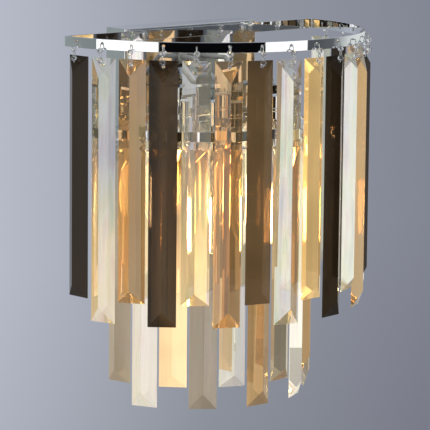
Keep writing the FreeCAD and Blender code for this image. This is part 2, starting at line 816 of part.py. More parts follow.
def skin(loops):
    """A solid in flats through loops of corners, closed at both ends."""
    faces = [Part.Face(Part.makePolygon(loop + loop[:1])) for loop in (loops[0], loops[-1])]
    for before, beyond in zip(loops, loops[1:]):
        for side in range(len(before)):
            after = (side + 1) % len(before)
            edge = [before[side], before[after], beyond[after], beyond[side], before[side]]
            faces.append(Part.Face(Part.makePolygon(edge)))
    return Part.makeSolid(Part.makeShell(faces))


def faceted(rings, sides, x, y):
    """A solid in flats through polygons, each given by its width across corners and level."""
    return skin([corners_of(sides, width / 2, x, y, level) for width, level in rings])


def bent(points):
    """The stops of a lead along straight runs joined by tangent arcs in short chords."""
    stops = [points[0]]
    for before, corner, after in zip(points, points[1:], points[2:]):
        back = (before - corner).normalize()
        ahead = (after - corner).normalize()
        turn = math.pi - back.getAngle(ahead)
        tangent = BEND_SHARE * min((before - corner).Length, (after - corner).Length)
        radius = tangent / math.tan(turn / 2)
        centre = corner + (back + ahead).normalize() * (radius / math.cos(turn / 2))
        spoke = corner + back * tangent - centre
        count = math.ceil(math.degrees(turn) / LEAD_TURN)
        for number in range(count + 1):
            share = Rotation(back.cross(ahead), -math.degrees(turn) * number / count)
            stops.append(centre + share.multVec(spoke))
        print("lead bend radius %.1f mm, turn %.0f degrees" % (radius, math.degrees(turn)))
    return stops + [points[-1]]


def tube(points, size):
    """A lead in flats, no wider than its round, mitred at each stop of its bends."""
    stops = bent(points)
    runs = [(after - before).normalize() for before, after in zip(stops, stops[1:])]
    corners = corners_of(LEAD_FLATS, size / 2)
    start = Placement(stops[0], Rotation(Vector(0, 0, 1), runs[0]))
    loops = [[start.multVec(corner) for corner in corners]]
    for stop, run, onwards in zip(stops[1:], runs, runs[1:] + runs[-1:]):
        mitre = (run + onwards).normalize()
        loops.append([corner + run * ((stop - corner).dot(mitre) / run.dot(mitre))
                      for corner in loops[-1]])
    solid = skin(loops)
    area = Part.Face(Part.makePolygon(loops[0] + loops[0][:1])).Area
    length = sum((after - before).Length for before, after in zip(stops, stops[1:]))
    print("lead volume over section times length: %.4f" % (solid.Volume / area / length))
    return solid


def main():
    """Build, check and write the sconce."""
    shop = Workshop()
    shop.build()
    shop.check()
    shop.export()
    print("%d nodes" % len(shop.nodes))


main()
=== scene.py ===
"""Looks of the crystal wall sconce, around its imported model. Metres, +Z up, wall at Y = 0."""
import json
import logging
import math
from dataclasses import dataclass, field
from enum import Enum

import bmesh
import bpy
from bpy.types import Material, Mesh, Node, NodeSocket, NodeTree, Object
from mathutils import Matrix, Vector


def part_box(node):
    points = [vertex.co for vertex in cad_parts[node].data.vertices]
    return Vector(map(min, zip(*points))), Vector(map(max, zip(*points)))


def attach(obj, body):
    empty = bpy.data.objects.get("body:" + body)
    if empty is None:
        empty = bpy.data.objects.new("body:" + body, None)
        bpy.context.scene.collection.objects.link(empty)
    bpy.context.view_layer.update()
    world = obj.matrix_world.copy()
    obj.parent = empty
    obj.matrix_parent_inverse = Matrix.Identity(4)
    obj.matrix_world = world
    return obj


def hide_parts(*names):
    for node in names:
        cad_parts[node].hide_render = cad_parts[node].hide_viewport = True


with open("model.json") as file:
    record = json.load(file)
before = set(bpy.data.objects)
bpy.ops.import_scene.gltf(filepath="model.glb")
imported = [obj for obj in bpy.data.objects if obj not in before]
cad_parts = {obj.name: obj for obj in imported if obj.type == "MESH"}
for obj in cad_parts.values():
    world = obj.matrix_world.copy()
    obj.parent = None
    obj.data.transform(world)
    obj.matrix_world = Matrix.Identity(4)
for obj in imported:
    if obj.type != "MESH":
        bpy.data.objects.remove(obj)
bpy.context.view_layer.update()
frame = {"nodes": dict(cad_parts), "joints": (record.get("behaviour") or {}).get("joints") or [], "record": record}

MM = 0.001
PHOTO_PIXELS = 430
LOG = logging.getLogger("sconce")
TIP = 0.02 * MM
SAME = 1e-6
FLAT_FACE_WEIGHT = 90

Loop = list[Vector]
Profile = list[tuple[float, float]]
Colour = tuple[float, float, float, float]
Tones = tuple[tuple[float, tuple[int, int, int]], ...]
Shares = tuple[tuple[float, float], ...]


class Tint(Enum):
    """The three colours of glass, in the order in which they hang from the left."""

    SMOKE = "smoke_crystal"
    CLEAR = "clear_crystal"
    AMBER = "amber_crystal"


class Tier(Enum):
    """The two rows of prisms."""

    OUTER = "outer"
    INNER = "inner"


# ---------------------------------------------------------------- mesh tools


class Shell:
    """Collects the corners and faces of one piece."""

    def __init__(self) -> None:
        """Start with nothing in it."""
        self.corners: Loop = []
        self.faces: list[tuple[int, ...]] = []

    def add(self, corners: Loop, faces: list[tuple[int, ...]],
            place: Matrix = Matrix.Identity(4)) -> None:
        """Add a closed form.

        Args:
            corners: its corners.
            faces: the numbers of the corners round each face.
            place: where the form goes.
        """
        first = len(self.corners)
        self.corners += [place @ corner for corner in corners]
        self.faces += [tuple(first + number for number in face) for face in faces]

    def loops(self, loops: list[Loop], closed: bool, place: Matrix = Matrix.Identity(4)) -> None:
        """Add a skin over loops that have as many corners each.

        Args:
            loops: the loops, in order.
            closed: whether the last loop joins the first; if not, both ends get a cap.
            place: where the form goes.
        """
        size = len(loops[0])
        corners = [corner for loop in loops for corner in loop]
        faces = []
        for row in range(len(loops) if closed else len(loops) - 1):
            after = (row + 1) % len(loops)
            for number in range(size):
                beside = (number + 1) % size
                faces.append((row * size + number, row * size + beside,
                              after * size + beside, after * size + number))
        if not closed:
            faces.append(tuple(reversed(range(size))))
            faces.append(tuple(range(len(corners) - size, len(corners))))
        self.add(corners, faces, place)

    def bar(self, radius: float, start: float, stop: float, sides: int, place: Matrix) -> None:
        """Add a round bar along the placement's Z, from one level to another."""
        self.loops([circle(radius, start, sides), circle(radius, stop, sides)], False, place)

    def build(self, name: str, smooth_below: float | None = None) -> Object:
        """Make the object.

        Args:
            name: its name.
            smooth_below: edges that turn less than this many degrees look smooth.

        Returns:
            The new object, linked to the scene.
        """
        mesh = bpy.data.meshes.new(name)
        mesh.from_pydata(self.corners, [], self.faces)
        work = bmesh.new()
        work.from_mesh(mesh)
        bmesh.ops.recalc_face_normals(work, faces=work.faces)
        work.to_mesh(mesh)
        work.free()
        return place_mesh(name, mesh, smooth_below)


def place_mesh(name: str, mesh: Mesh,
               smooth_below: float | None = None) -> Object:
    """Link a mesh to the scene as an object, smooth except where it turns sharply.

    Args:
        name: the object's name.
        mesh: its mesh.
        smooth_below: edges that turn less than this many degrees look smooth.

    Returns:
        The new object.
    """
    piece = bpy.data.objects.new(name, mesh)
    bpy.context.scene.collection.objects.link(piece)
    if smooth_below is not None:
        mesh.shade_smooth()
        mesh.set_sharp_from_angle(angle=math.radians(smooth_below))
        flat = piece.modifiers.new("flat faces stay flat", "WEIGHTED_NORMAL")
        flat.keep_sharp = True
        flat.weight = FLAT_FACE_WEIGHT
    return piece


def circle(radius: float, level: float, sides: int, turn: float = 0.0) -> Loop:
    """A level polygon about the Z axis, its first corner turned by some radians."""
    angles = [turn + 2 * math.pi * side / sides for side in range(sides)]
    return [Vector((radius * math.cos(a), radius * math.sin(a), level)) for a in angles]


def arc(middle: tuple[float, float], radius: float, start: float, stop: float,
        steps: int) -> Profile:
    """Points of an arc in a plane, both ends included, its angles in degrees."""
    turns = [math.radians(start + (stop - start) * step / steps) for step in range(steps + 1)]
    return [(middle[0] + radius * math.cos(t), middle[1] + radius * math.sin(t)) for t in turns]


def lathe(profile: Profile, sides: int) -> list[Loop]:
    """The loops of a turned form, from a profile of radius and level."""
    return [circle(radius, level, sides) for radius, level in profile]


def six_sided(across_flats: float, level: float, sides: int) -> Loop:
    """A level hexagon with as many corners as a round loop of the same number of sides.

    Args:
        across_flats: its size over two flats.
        level: its height.
        sides: how many corners the loop has.

    Returns:
        The loop.
    """
    loop = []
    for corner in circle(1.0, level, sides):
        angle = math.atan2(corner.y, corner.x)
        off = (angle + math.pi / 6) % (math.pi / 3) - math.pi / 6
        reach = across_flats / 2 / math.cos(off)
        loop.append(Vector((corner.x * reach, corner.y * reach, level)))
    return loop


def rounded(points: Loop, share: float, steps: int) -> Loop:
    """A path whose corners are arcs that use up a share of the shorter run beside them.

    Args:
        points: the path's ends and corners, in order.
        share: the share of the shorter run that an arc uses up.
        steps: how many parts each arc has.

    Returns:
        The points of the path.
    """
    path = [points[0]]
    for before, corner, after in zip(points, points[1:], points[2:]):
        back = (before - corner).normalized()
        ahead = (after - corner).normalized()
        turn = math.pi - back.angle(ahead)
        tangent = share * min((before - corner).length, (after - corner).length)
        radius = tangent / math.tan(turn / 2)
        centre = corner + (back + ahead).normalized() * (radius / math.cos(turn / 2))
        spoke = corner + back * tangent - centre
        for step in range(steps + 1):
            swing = Matrix.Rotation(turn * step / steps, 3, spoke.cross(ahead))
            path.append(centre + swing @ spoke)
    return path + [points[-1]]


def sweep(path: Loop, radius: float, sides: int, closed: bool = False) -> list[Loop]:
    """The loops of a round wire that follows a path without twisting.

    Args:
        path: the points of the wire's middle line.
        radius: the wire's radius.
        sides: how many corners each loop has.
        closed: whether the path's end joins its start.

    Returns:
        A loop for each point of the path.
    """
    count = len(path)
    ahead = []
    for number in range(count):
        before = path[number - 1] if closed or number else path[0]
        after = path[(number + 1) % count] if closed or number < count - 1 else path[-1]
        ahead.append((after - before).normalized())
    side = ahead[0].orthogonal().normalized()
    loops = []
    for point, along in zip(path, ahead):
        side = (side - along * side.dot(along)).normalized()
        other = along.cross(side)
        angles = [2 * math.pi * step / sides for step in range(sides)]
        loops.append([point + (side * math.cos(a) + other * math.sin(a)) * radius
                      for a in angles])
    return loops


def cut(piece: Object, tool: Object) -> Mesh:
    """The mesh of a piece after a tool is cut out of it; the tool is deleted.

    Args:
        piece: the piece, which keeps its own mesh.
        tool: what is cut out of it.

    Returns:
        The cut mesh.
    """
    change = piece.modifiers.new("cut", "BOOLEAN")
    change.operation = "DIFFERENCE"
    change.solver = "EXACT"
    change.object = tool
    bpy.context.view_layer.update()
    seen = piece.evaluated_get(bpy.context.evaluated_depsgraph_get())
    mesh = bpy.data.meshes.new_from_object(seen)
    piece.modifiers.clear()
    bpy.data.objects.remove(tool)
    return mesh


def round_edges(mesh: Mesh, width: float, steps: int, above: float) -> None:
    """Round every edge of a mesh that turns by more than some degrees.

    Args:
        mesh: the mesh to change.
        width: how far a rounding reaches from its edge.
        steps: how many parts a rounding has.
        above: the least turn, in degrees.
    """
    work = bmesh.new()
    work.from_mesh(mesh)
    bmesh.ops.remove_doubles(work, verts=work.verts, dist=SAME)
    sharp = [e for e in work.edges if e.calc_face_angle(0.0) > math.radians(above)]
    bmesh.ops.bevel(work, geom=sharp, offset=width, segments=steps, profile=0.5,
                    affect="EDGES", clamp_overlap=True)
    work.to_mesh(mesh)
    work.free()


def standing_out(place: Vector) -> Matrix:
    """A placement that turns +Z out of the wall, -Y, and moves the origin to a place."""
    return Matrix.Translation(place) @ Matrix.Rotation(math.pi / 2, 4, "X")


# ---------------------------------------------------------------- shader tools


class Graph:
    """Adds and joins the nodes of a material, a world or a node group."""

    def __init__(self, tree: NodeTree) -> None:
        """Work on one node tree."""
        self.tree = tree

    def node(self, kind: str, settings: dict | None = None, **inputs: object) -> Node:
        """Add a node.

        Args:
            kind: the node's type without its ShaderNode prefix.
            settings: properties of the node.
            inputs: values or output sockets for its inputs, as join takes them.

        Returns:
            The new node.
        """
        made = self.tree.nodes.new("ShaderNode" + kind)
        for name, value in (settings or {}).items():
            setattr(made, name, value)
        return self.join(made, **inputs)

    def join(self, made: Node, **inputs: object) -> Node:
        """Feed a node's inputs, named with _ for spaces, or _ and a number.

        Args:
            made: the node.
            inputs: values or output sockets, by input.

        Returns:
            The same node.
        """
        for name, value in inputs.items():
            number = name.lstrip("_")
            key = int(number) if number.isdigit() else name.replace("_", " ")
            self.feed(made.inputs[key], value)
        return made

    def feed(self, socket: NodeSocket, value: object) -> None:
        """Give a socket a value, or join an output to it.

        Args:
            socket: the input.
            value: a plain value or an output socket.
        """
        if isinstance(value, NodeSocket):
            self.tree.links.new(value, socket)
        else:
            socket.default_value = value

    def math(self, operation: str, first: object, second: object = 0.0,
             clamp: bool = False) -> NodeSocket:
        """One sum of two numbers."""
        settings = {"operation": operation, "use_clamp": clamp}
        return self.node("Math", settings, _0=first, _1=second).outputs[0]

    def blend(self, share: object, first: object, second: object,
              kind: str = "MIX") -> NodeSocket:
        """A mix of two colours."""
        settings = {"data_type": "RGBA", "blend_type": kind}
        return self.node("Mix", settings, _0=share, _6=first, _7=second).outputs[2]

    def span(self, value: object, low: object, high: object, start: object, stop: float,
             kind: str = "LINEAR") -> NodeSocket:
        """A number moved from one range to another and kept inside it."""
        return self.node("MapRange", {"interpolation_type": kind}, _0=value, _1=low, _2=high,
                         _3=start, _4=stop).outputs[0]

    def noise(self, place: object, scale: object, detail: float = 2.0,
              roughness: float = 0.5) -> NodeSocket:
        """Cloudy values."""
        return self.node("TexNoise", None, Vector=place, Scale=scale, Detail=detail,
                         Roughness=roughness).outputs[0]

    def bump(self, height: NodeSocket, depth: float) -> NodeSocket:
        """Normals for a height."""
        return self.node("Bump", None, Height=height, Distance=depth, Strength=1.0).outputs[0]

    def place(self, stretch: tuple[float, float, float] | None = None) -> NodeSocket:
        """The place on the piece, stretched if need be.

        Args:
            stretch: the scale along each axis, if any.

        Returns:
            The place.
        """
        place = self.node("TexCoord").outputs["Object"]
        return self.node("Mapping", None, Vector=place, Scale=stretch).outputs[0] \
            if stretch else place

    def spot(self) -> tuple[NodeSocket, list[NodeSocket]]:
        """The place in the scene, whole and as X, Y and Z."""
        place = self.node("NewGeometry").outputs["Position"]
        return place, list(self.node("SeparateXYZ", None, Vector=place).outputs)

    def ramp(self, value: object, tones: Tones) -> NodeSocket:
        """A colour picked by a number, from tones given at rising numbers.

        Args:
            value: the number.
            tones: numbers, each with its colour on a screen.

        Returns:
            The colour.
        """
        low, high = tones[0][0], tones[-1][0]
        made = self.node("ValToRGB", None, Fac=self.span(value, low, high, 0.0, 1.0))
        steps = made.color_ramp.elements
        steps[0].color, steps[1].color = linear(*tones[0][1]), linear(*tones[-1][1])
        for number, tone in tones[1:-1]:
            steps.new((number - low) / (high - low)).color = linear(*tone)
        return made.outputs[0]


def linear(red: int, green: int, blue: int) -> Colour:
    """A colour given as it looks on a screen, 0 to 255, as a shader's colour.

    Args:
        red: its red part.
        green: its green part.
        blue: its blue part.

    Returns:
        The colour in linear light, with an alpha of 1.
    """
    parts = [part / 255 for part in (red, green, blue)]
    made = [p / 12.92 if p <= 0.04045 else ((p + 0.055) / 1.055) ** 2.4 for p in parts]
    return (*made, 1.0)


# Pastel tones of the painted bands of parted light in the crystals.
PASTELS: Tones = ((0.3, (206, 232, 216)), (0.4, (250, 244, 214)), (0.5, (255, 255, 255)),
                  (0.6, (246, 218, 222)), (0.7, (214, 214, 246)))


class Effects:
    """The node groups that more than one finish uses."""

    def __init__(self) -> None:
        """Build every group once."""
        self.smudges = self.make_smudges()
        self.ripple = self.make_ripple()
        self.glow = self.make_glow()
        self.bands = self.make_bands()

    @staticmethod
    def start(name: str, output: str, **inputs: float | Colour) -> tuple[Graph, dict]:
        """Begin a group with its sockets.

        Args:
            name: the group's name.
            output: its output, Mask or Height for a number and Colour for a colour.
            inputs: its inputs and their values, named with _ for spaces.

        Returns:
            A graph on the group, and its input sockets by name.
        """
        tree = bpy.data.node_groups.new(name, "ShaderNodeTree")
        for key, value in inputs.items():
            kind = "NodeSocketFloat" if isinstance(value, float) else "NodeSocketColor"
            tree.interface.new_socket(name=key.replace("_", " "), in_out="INPUT",
                                      socket_type=kind).default_value = value
        kind = "NodeSocketColor" if output == "Colour" else "NodeSocketFloat"
        tree.interface.new_socket(name=output, in_out="OUTPUT", socket_type=kind)
        inside = tree.nodes.new("NodeGroupInput")
        return Graph(tree), {socket.name: socket for socket in inside.outputs}

    @staticmethod
    def end(graph: Graph, result: NodeSocket) -> NodeTree:
        """Join the result to the group's output."""
        graph.join(graph.tree.nodes.new("NodeGroupOutput"), _0=result)
        return graph.tree

    def make_smudges(self) -> NodeTree:
        """Faint handling marks: a mask from cloudy patches and fine streaks.

        Returns:
            The group, which puts out a mask.
        """
        graph, given = self.start("smudges", "Mask", Patch_Size=0.02)
        scale = graph.math("DIVIDE", 1.0, given["Patch Size"])
        cloud = graph.noise(graph.place(), scale, 4.0, 0.6)
        streak = graph.noise(graph.place((6.0, 6.0, 0.6)), scale)
        mask = graph.math("MULTIPLY", graph.span(cloud, 0.42, 0.72, 0.0, 1.0),
                          graph.span(streak, 0.3, 0.7, 0.35, 1.0))
        return self.end(graph, mask)

    def make_ripple(self) -> NodeTree:
        """The slight waviness of folded and polished sheet, as a height.

        Returns:
            The group, which puts out a height.
        """
        graph, given = self.start("ripple", "Height", Length=0.03, Fine_Length=0.002)
        long = graph.noise(graph.place(), graph.math("DIVIDE", 1.0, given["Length"]), 1.0)
        fine = graph.noise(graph.place(), graph.math("DIVIDE", 1.0, given["Fine Length"]))
        return self.end(graph, graph.math("ADD", long, graph.math("MULTIPLY", fine, 0.04)))

    def make_glow(self) -> NodeTree:
        """Painted glow for light caught in cut glass: a little everywhere, and lamp light low on one side.

        Returns:
            The group, which puts out a colour.
        """
        black = (0.0, 0.0, 0.0, 1.0)
        graph, given = self.start("painted caught light", "Colour", Way_X=-1.0, Way_Y=0.0, Dull=0.02,
                                  Bright=0.075, Top=0.02, Full=-0.06, Least=0.12, Caught=black,
                                  Even=black)
        place, parts = graph.spot()
        way = graph.math("ADD", graph.math("MULTIPLY", parts[0], given["Way X"]),
                         graph.math("MULTIPLY", parts[1], given["Way Y"]))
        side = graph.span(way, given["Dull"], given["Bright"], given["Least"], 1.0, "SMOOTHSTEP")
        height = graph.span(parts[2], given["Top"], given["Full"], 0.0, 1.0, "SMOOTHSTEP")
        patchy = graph.span(graph.noise(place, 22.0, 1.0), 0.3, 0.7, 0.75, 1.1)
        share = graph.math("MULTIPLY", graph.math("MULTIPLY", side, height), patchy)
        lamp = graph.blend(share, black, given["Caught"])
        return self.end(graph, graph.blend(1.0, lamp, given["Even"], "ADD"))

    def make_bands(self) -> NodeTree:
        """Painted upright pastel bands, for the colours that cut glass parts from white light.

        Returns:
            The group, which puts out a colour.
        """
        white = (1.0, 1.0, 1.0, 1.0)
        graph, given = self.start("painted parted light", "Colour", Depth=-0.026, Fineness=26.0,
                                  Strength=0.5, Plain=white)
        parts = graph.spot()[1]
        round_about = graph.math("ARCTAN2", graph.math("SUBTRACT", parts[1], given["Depth"]),
                                 parts[0])
        walk = graph.node("CombineXYZ", None, _0=round_about,
                          _1=graph.math("MULTIPLY", parts[2], 0.8)).outputs[0]
        pastel = graph.ramp(graph.noise(walk, given["Fineness"], 1.0), PASTELS)
        tinted = graph.blend(given["Strength"], white, pastel)
        return self.end(graph, graph.blend(1.0, given["Plain"], tinted, "MULTIPLY"))


# ---------------------------------------------------------------- finishes


def material(name: str, **settings: object) -> tuple[Material, Graph, Node]:
    """A new material, a graph on it, and its Principled shader with some inputs set.

    Args:
        name: the material's name.
        settings: values for the shader's inputs, named as join takes them.

    Returns:
        The material, the graph and the shader.
    """
    made = bpy.data.materials.new(name)
    made.use_nodes = True
    graph = Graph(made.node_tree)
    return made, graph, graph.join(made.node_tree.nodes["Principled BSDF"], **settings)


def group(graph: Graph, tree: NodeTree, **inputs: object) -> NodeSocket:
    """The output of a shared group placed in a material with its own values."""
    return graph.node("Group", {"node_tree": tree}, **inputs).outputs[0]


def worn(graph: Graph, shader: Node, effects: Effects, patch: float,
         roughness: tuple[float, float]) -> NodeSocket:
    """Roughen a shader where it is marked, and give the mask of its marks.

    Args:
        graph: the material's graph.
        shader: its shader.
        effects: the shared groups.
        patch: the size of a mark.
        roughness: the roughness where clean and where marked.

    Returns:
        The mask.
    """
    mask = group(graph, effects.smudges, Patch_Size=patch)
    graph.join(shader, Roughness=graph.span(mask, 0.0, 1.0, *roughness))
    return mask


@dataclass(frozen=True)
class MetalFinish:
    """Plated or plain metal with faint marks and a slight ripple."""

    name: str
    colour: Colour
    marked: Colour
    roughness: float
    marked_roughness: float
    patch: float = 18 * MM
    ripple: float = 40 * MM
    ripple_depth: float = 0.0

    def make(self, effects: Effects) -> Material:
        """Build the material from the shared effects.

        Args:
            effects: the shared groups.

        Returns:
            The material.
        """
        made, graph, shader = material(self.name, Metallic=1.0)
        mask = worn(graph, shader, effects, self.patch, (self.roughness, self.marked_roughness))
        graph.join(shader, Base_Color=graph.blend(mask, self.colour, self.marked))
        if self.ripple_depth:
            height = group(graph, effects.ripple, Length=self.ripple)
            graph.join(shader, Normal=graph.bump(height, self.ripple_depth))
        return made


@dataclass(frozen=True)
class CaughtLight:
    """How a crystal's painted glow stands for the light it catches: colours, and the way and heights in which it
    grows.
    """

    lamp: Colour
    even: Colour
    way: tuple[float, float] = (-1.0, 0.0)
    dull: float = 20 * MM
    bright: float = 75 * MM
    top: float = 20 * MM
    full: float = -60 * MM
    least: float = 0.12


@dataclass(frozen=True)
class CrystalFinish:
    """Cut and polished glass, with a painted glow for the light that it catches."""

    name: str
    tint: Colour
    deep: Colour
    caught: CaughtLight | None = None
    parting: float = 0.0
    index: float = 1.52

    def make(self, effects: Effects) -> Material:
        """Build the material from the shared effects.

        Args:
            effects: the shared groups.

        Returns:
            The material.
        """
        made, graph, shader = material(self.name, Transmission_Weight=1.0, IOR=self.index,
                                       Roughness=0.0)
        veil = graph.noise(graph.place((1.0, 1.0, 0.12)), 45.0)
        colour = graph.blend(graph.span(veil, 0.35, 0.65, 0.0, 1.0), self.tint, self.deep)
        if self.parting:
            # Painted pastel bands of parted light, multiplied into the glass colour.
            colour = group(graph, effects.bands, Plain=colour, Strength=self.parting)
        graph.join(shader, Base_Color=colour)
        if self.caught:
            light = self.caught
            glow = group(graph, effects.glow, Caught=light.lamp, Even=light.even,
                         Way_X=light.way[0], Way_Y=light.way[1], Dull=light.dull,
                         Bright=light.bright, Top=light.top, Full=light.full,
                         Least=light.least)
            # Painted glow: emission on the glass stands for lamp light that the renderer doesn't carry through it.
            graph.join(shader, Emission_Color=glow, Emission_Strength=1.0)
        return made


@dataclass(frozen=True)
class MouldedFinish:
    """Plastic, rubber or glazed ware with a fine grain."""

    name: str
    colour: Colour
    shade: Colour
    roughness: float
    patch: float = 9 * MM
    grain: float = 0.6 * MM
    grain_depth: float = 0.02 * MM
    marked_more: float = 0.12

    def make(self, effects: Effects) -> Material:
        """Build the material from the shared effects.

        Args:
            effects: the shared groups.

        Returns:
            The material.
        """
        made, graph, shader = material(self.name)
        rough = (self.roughness, self.roughness + self.marked_more)
        mask = worn(graph, shader, effects, self.patch, rough)
        grain = graph.noise(graph.place(), 1 / self.grain)
        graph.join(shader, Base_Color=graph.blend(mask, self.colour, self.shade),
                   Normal=graph.bump(grain, self.grain_depth))
        return made


@dataclass(frozen=True)
class SleeveFinish:
    """Lead insulation, plain or with a spiral stripe of a second colour."""

    name: str
    colour: Colour
    stripe: Colour
    pitch: float = 9 * MM
    patch: float = 7 * MM
    roughness: tuple[float, float] = (0.38, 0.55)

    def make(self, effects: Effects) -> Material:
        """Build the material from the shared effects.

        Args:
            effects: the shared groups.

        Returns:
            The material.
        """
        made, graph, shader = material(self.name)
        worn(graph, shader, effects, self.patch, self.roughness)
        wave = graph.node("TexWave", {"bands_direction": "DIAGONAL"}, Vector=graph.place(),
                          Scale=0.3 / self.pitch, Distortion=0.0).outputs["Fac"]
        share = graph.span(wave, 0.48, 0.52, 0.0, 1.0)
        graph.join(shader, Base_Color=graph.blend(share, self.colour, self.stripe))
        return made


@dataclass(frozen=True)
class FilamentFinish:
    """Lit filament sticks, a little dimmer towards their ends."""

    name: str
    middle: Colour
    ends: Colour
    strength: float
    drop: float = 17 * MM
    dimming: tuple[float, float] = (10 * MM, 22 * MM)

    def make(self, effects: Effects) -> Material:
        """Build the material.

        Args:
            effects: the shared groups, of which it needs none.

        Returns:
            The material.
        """
        made, graph, shader = material(self.name, Emission_Strength=self.strength)
        low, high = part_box("bulb_domes")
        middle = (low.z + high.z) / 2 - self.drop
        off = graph.math("ABSOLUTE", graph.math("SUBTRACT", graph.spot()[1][2], middle))
        tone = graph.blend(graph.span(off, *self.dimming, 0.0, 1.0), self.middle, self.ends)
        graph.join(shader, Base_Color=tone, Emission_Color=tone)
        return made


FINISHES = {
    "polished_chrome": MetalFinish("polished chrome plate", linear(236, 238, 240),
                                   linear(214, 217, 220), 0.025, 0.09,
                                   ripple_depth=0.006 * MM),
    "zinc_steel": MetalFinish("zinc plated steel", linear(196, 198, 200),
                              linear(160, 160, 156), 0.28, 0.46, patch=8 * MM,
                              ripple=3 * MM, ripple_depth=0.01 * MM),
    "contact_brass": MetalFinish("contact brass", linear(222, 186, 106),
                                 linear(176, 132, 70), 0.2, 0.4, patch=5 * MM),
    "link_wire": MetalFinish("bright bent wire", linear(226, 227, 226),
                             linear(188, 188, 184), 0.08, 0.2, patch=4 * MM),
    "holder_plastic": MouldedFinish("white heat-proof plastic", linear(232, 230, 223),
                                    linear(214, 210, 200), 0.34),
    "lead_sleeve": SleeveFinish("pale lead sleeve", linear(226, 226, 220),
                                linear(218, 217, 210)),
    "earth_sleeve": SleeveFinish("green and yellow lead sleeve", linear(54, 128, 58),
                                 linear(224, 196, 52)),
    "bulb_glass": CrystalFinish("bulb glass", (0.99, 0.98, 0.96, 1.0),
                                (0.97, 0.96, 0.93, 1.0), index=1.47),
    "filament": FilamentFinish("lit filament", (1.0, 0.83, 0.50, 1.0),
                               (1.0, 0.66, 0.28, 1.0), 60.0),
    "bead_crystal": CrystalFinish("clear cut bead", (0.98, 0.98, 0.98, 1.0),
                                  (0.93, 0.95, 0.96, 1.0), index=1.56),
    Tint.SMOKE.value: CrystalFinish(
        "smoke crystal", (0.03, 0.022, 0.016, 1.0), (0.018, 0.014, 0.011, 1.0),
        CaughtLight((0.10, 0.062, 0.028, 1.0), (0.002, 0.0015, 0.001, 1.0),
                    way=(-0.5, -1.0), dull=146 * MM, bright=164 * MM, top=110 * MM,
                    full=60 * MM),
        parting=0.2, index=1.22),
    Tint.CLEAR.value: CrystalFinish(
        "clear crystal", (0.97, 0.96, 0.92, 1.0), (0.93, 0.93, 0.91, 1.0),
        CaughtLight((0.15, 0.095, 0.018, 1.0), (0.03, 0.03, 0.022, 1.0)), parting=0.6),
    Tint.AMBER.value: CrystalFinish(
        "amber crystal", (0.84, 0.60, 0.36, 1.0), (0.76, 0.48, 0.23, 1.0),
        CaughtLight((0.17, 0.13, 0.06, 1.0), (0.01, 0.008, 0.004, 1.0), way=(0.0, -1.0),
                    dull=132 * MM, bright=150 * MM, top=110 * MM, full=85 * MM, least=0.05),
        parting=0.25, index=1.57),
    # The inner row gets lit copies of the three tints, their colours and painted glow changed for the bulbs' light
    # close by.
    "inner_smoke": CrystalFinish(
        "lit smoke crystal", (0.56, 0.48, 0.38, 1.0), (0.42, 0.34, 0.25, 1.0),
        CaughtLight((0.05, 0.03, 0.01, 1.0), (0.05, 0.045, 0.03, 1.0)), parting=0.3),
    "inner_clear": CrystalFinish(
        "lit clear crystal", (0.97, 0.95, 0.90, 1.0), (0.93, 0.91, 0.86, 1.0),
        CaughtLight((0.12, 0.09, 0.05, 1.0), (0.09, 0.08, 0.055, 1.0)), parting=0.4),
    "inner_amber": CrystalFinish(
        "lit amber crystal", (0.72, 0.46, 0.22, 1.0), (0.60, 0.35, 0.14, 1.0),
        CaughtLight((0.50, 0.39, 0.24, 1.0), (0.02, 0.015, 0.008, 1.0), dull=15 * MM,
                    bright=60 * MM, least=0.05),
        parting=0.3),
}
# Which lit copy, painted for the bulbs' light, each tint takes in the inner row.
INNER_FINISHES = {Tint.SMOKE: "inner_smoke", Tint.CLEAR: "inner_clear",
                  Tint.AMBER: "inner_amber"}


class Wardrobe:
    """Makes each finish once and puts it on pieces."""

    def __init__(self) -> None:
        """Build the shared effects and every finish."""
        effects = Effects()
        self.made = {slot: finish.make(effects) for slot, finish in FINISHES.items()}
        self.worn = {sub["node"]: sub["material_slot"] for sub in frame["record"]["subparts"]}
        self.body_of = {node: body for body, nodes in
                        frame["record"]["behaviour"]["bodies"].items() for node in nodes}

    def keep(self, *nodes: str) -> None:
        """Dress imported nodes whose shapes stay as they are.

        Args:
            nodes: the nodes' names.
        """
        for node in nodes:
            for slot in frame["nodes"][node].material_slots:
                slot.material = self.made[self.worn[node]]
            LOG.info("kept %s in %s", node, self.worn[node])

    def add(self, piece: Object, finish: str, body: str, slot: str) -> None:
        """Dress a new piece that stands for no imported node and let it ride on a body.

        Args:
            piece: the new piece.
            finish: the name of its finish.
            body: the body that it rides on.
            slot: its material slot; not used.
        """
        piece.data.materials.clear()
        piece.data.materials.append(self.made[finish])
        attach(piece, body)
        LOG.info("%s added on %s", piece.name, body)

    def skin(self, node: str, done: str, smooth: float | None, skins: list[list[Loop]],
             closed: bool, places: list[Matrix] = (Matrix.Identity(4),)) -> None:
        """Build skins over loops at some places and let the piece stand for a node.

        Args:
            node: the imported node.
            done: what was done to it, for the piece's name.
            smooth: edges that turn less than this many degrees look smooth.
            skins: the loops of each skin.
            closed: whether a skin's last loop joins its first.
            places: where the skins go.
        """
        shell = Shell()
        for place in places:
            for loops in skins:
                shell.loops(loops, closed, place)
        self.replace(shell.build(f"{node}_{done}", smooth), node)

    def replace(self, piece: Object, node: str, finish: str = "") -> None:
        """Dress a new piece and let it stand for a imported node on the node's body.

        Args:
            piece: the new piece.
            node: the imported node.
            finish: the name of its finish, where it isn't the one of the node's slot.
        """
        piece.data.materials.clear()
        piece.data.materials.append(self.made[finish or self.worn[node]])
        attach(piece, self.body_of[node])
        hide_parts(node)
        LOG.info("%s stands for %s", piece.name, node)


# ---------------------------------------------------------------- crystals


@dataclass(frozen=True)
class PrismShape:
    """The sizes of a hanging prism, in metres."""

    width: float
    thickness: float
    length: float
    top_bevel: float
    foot_bevel: float


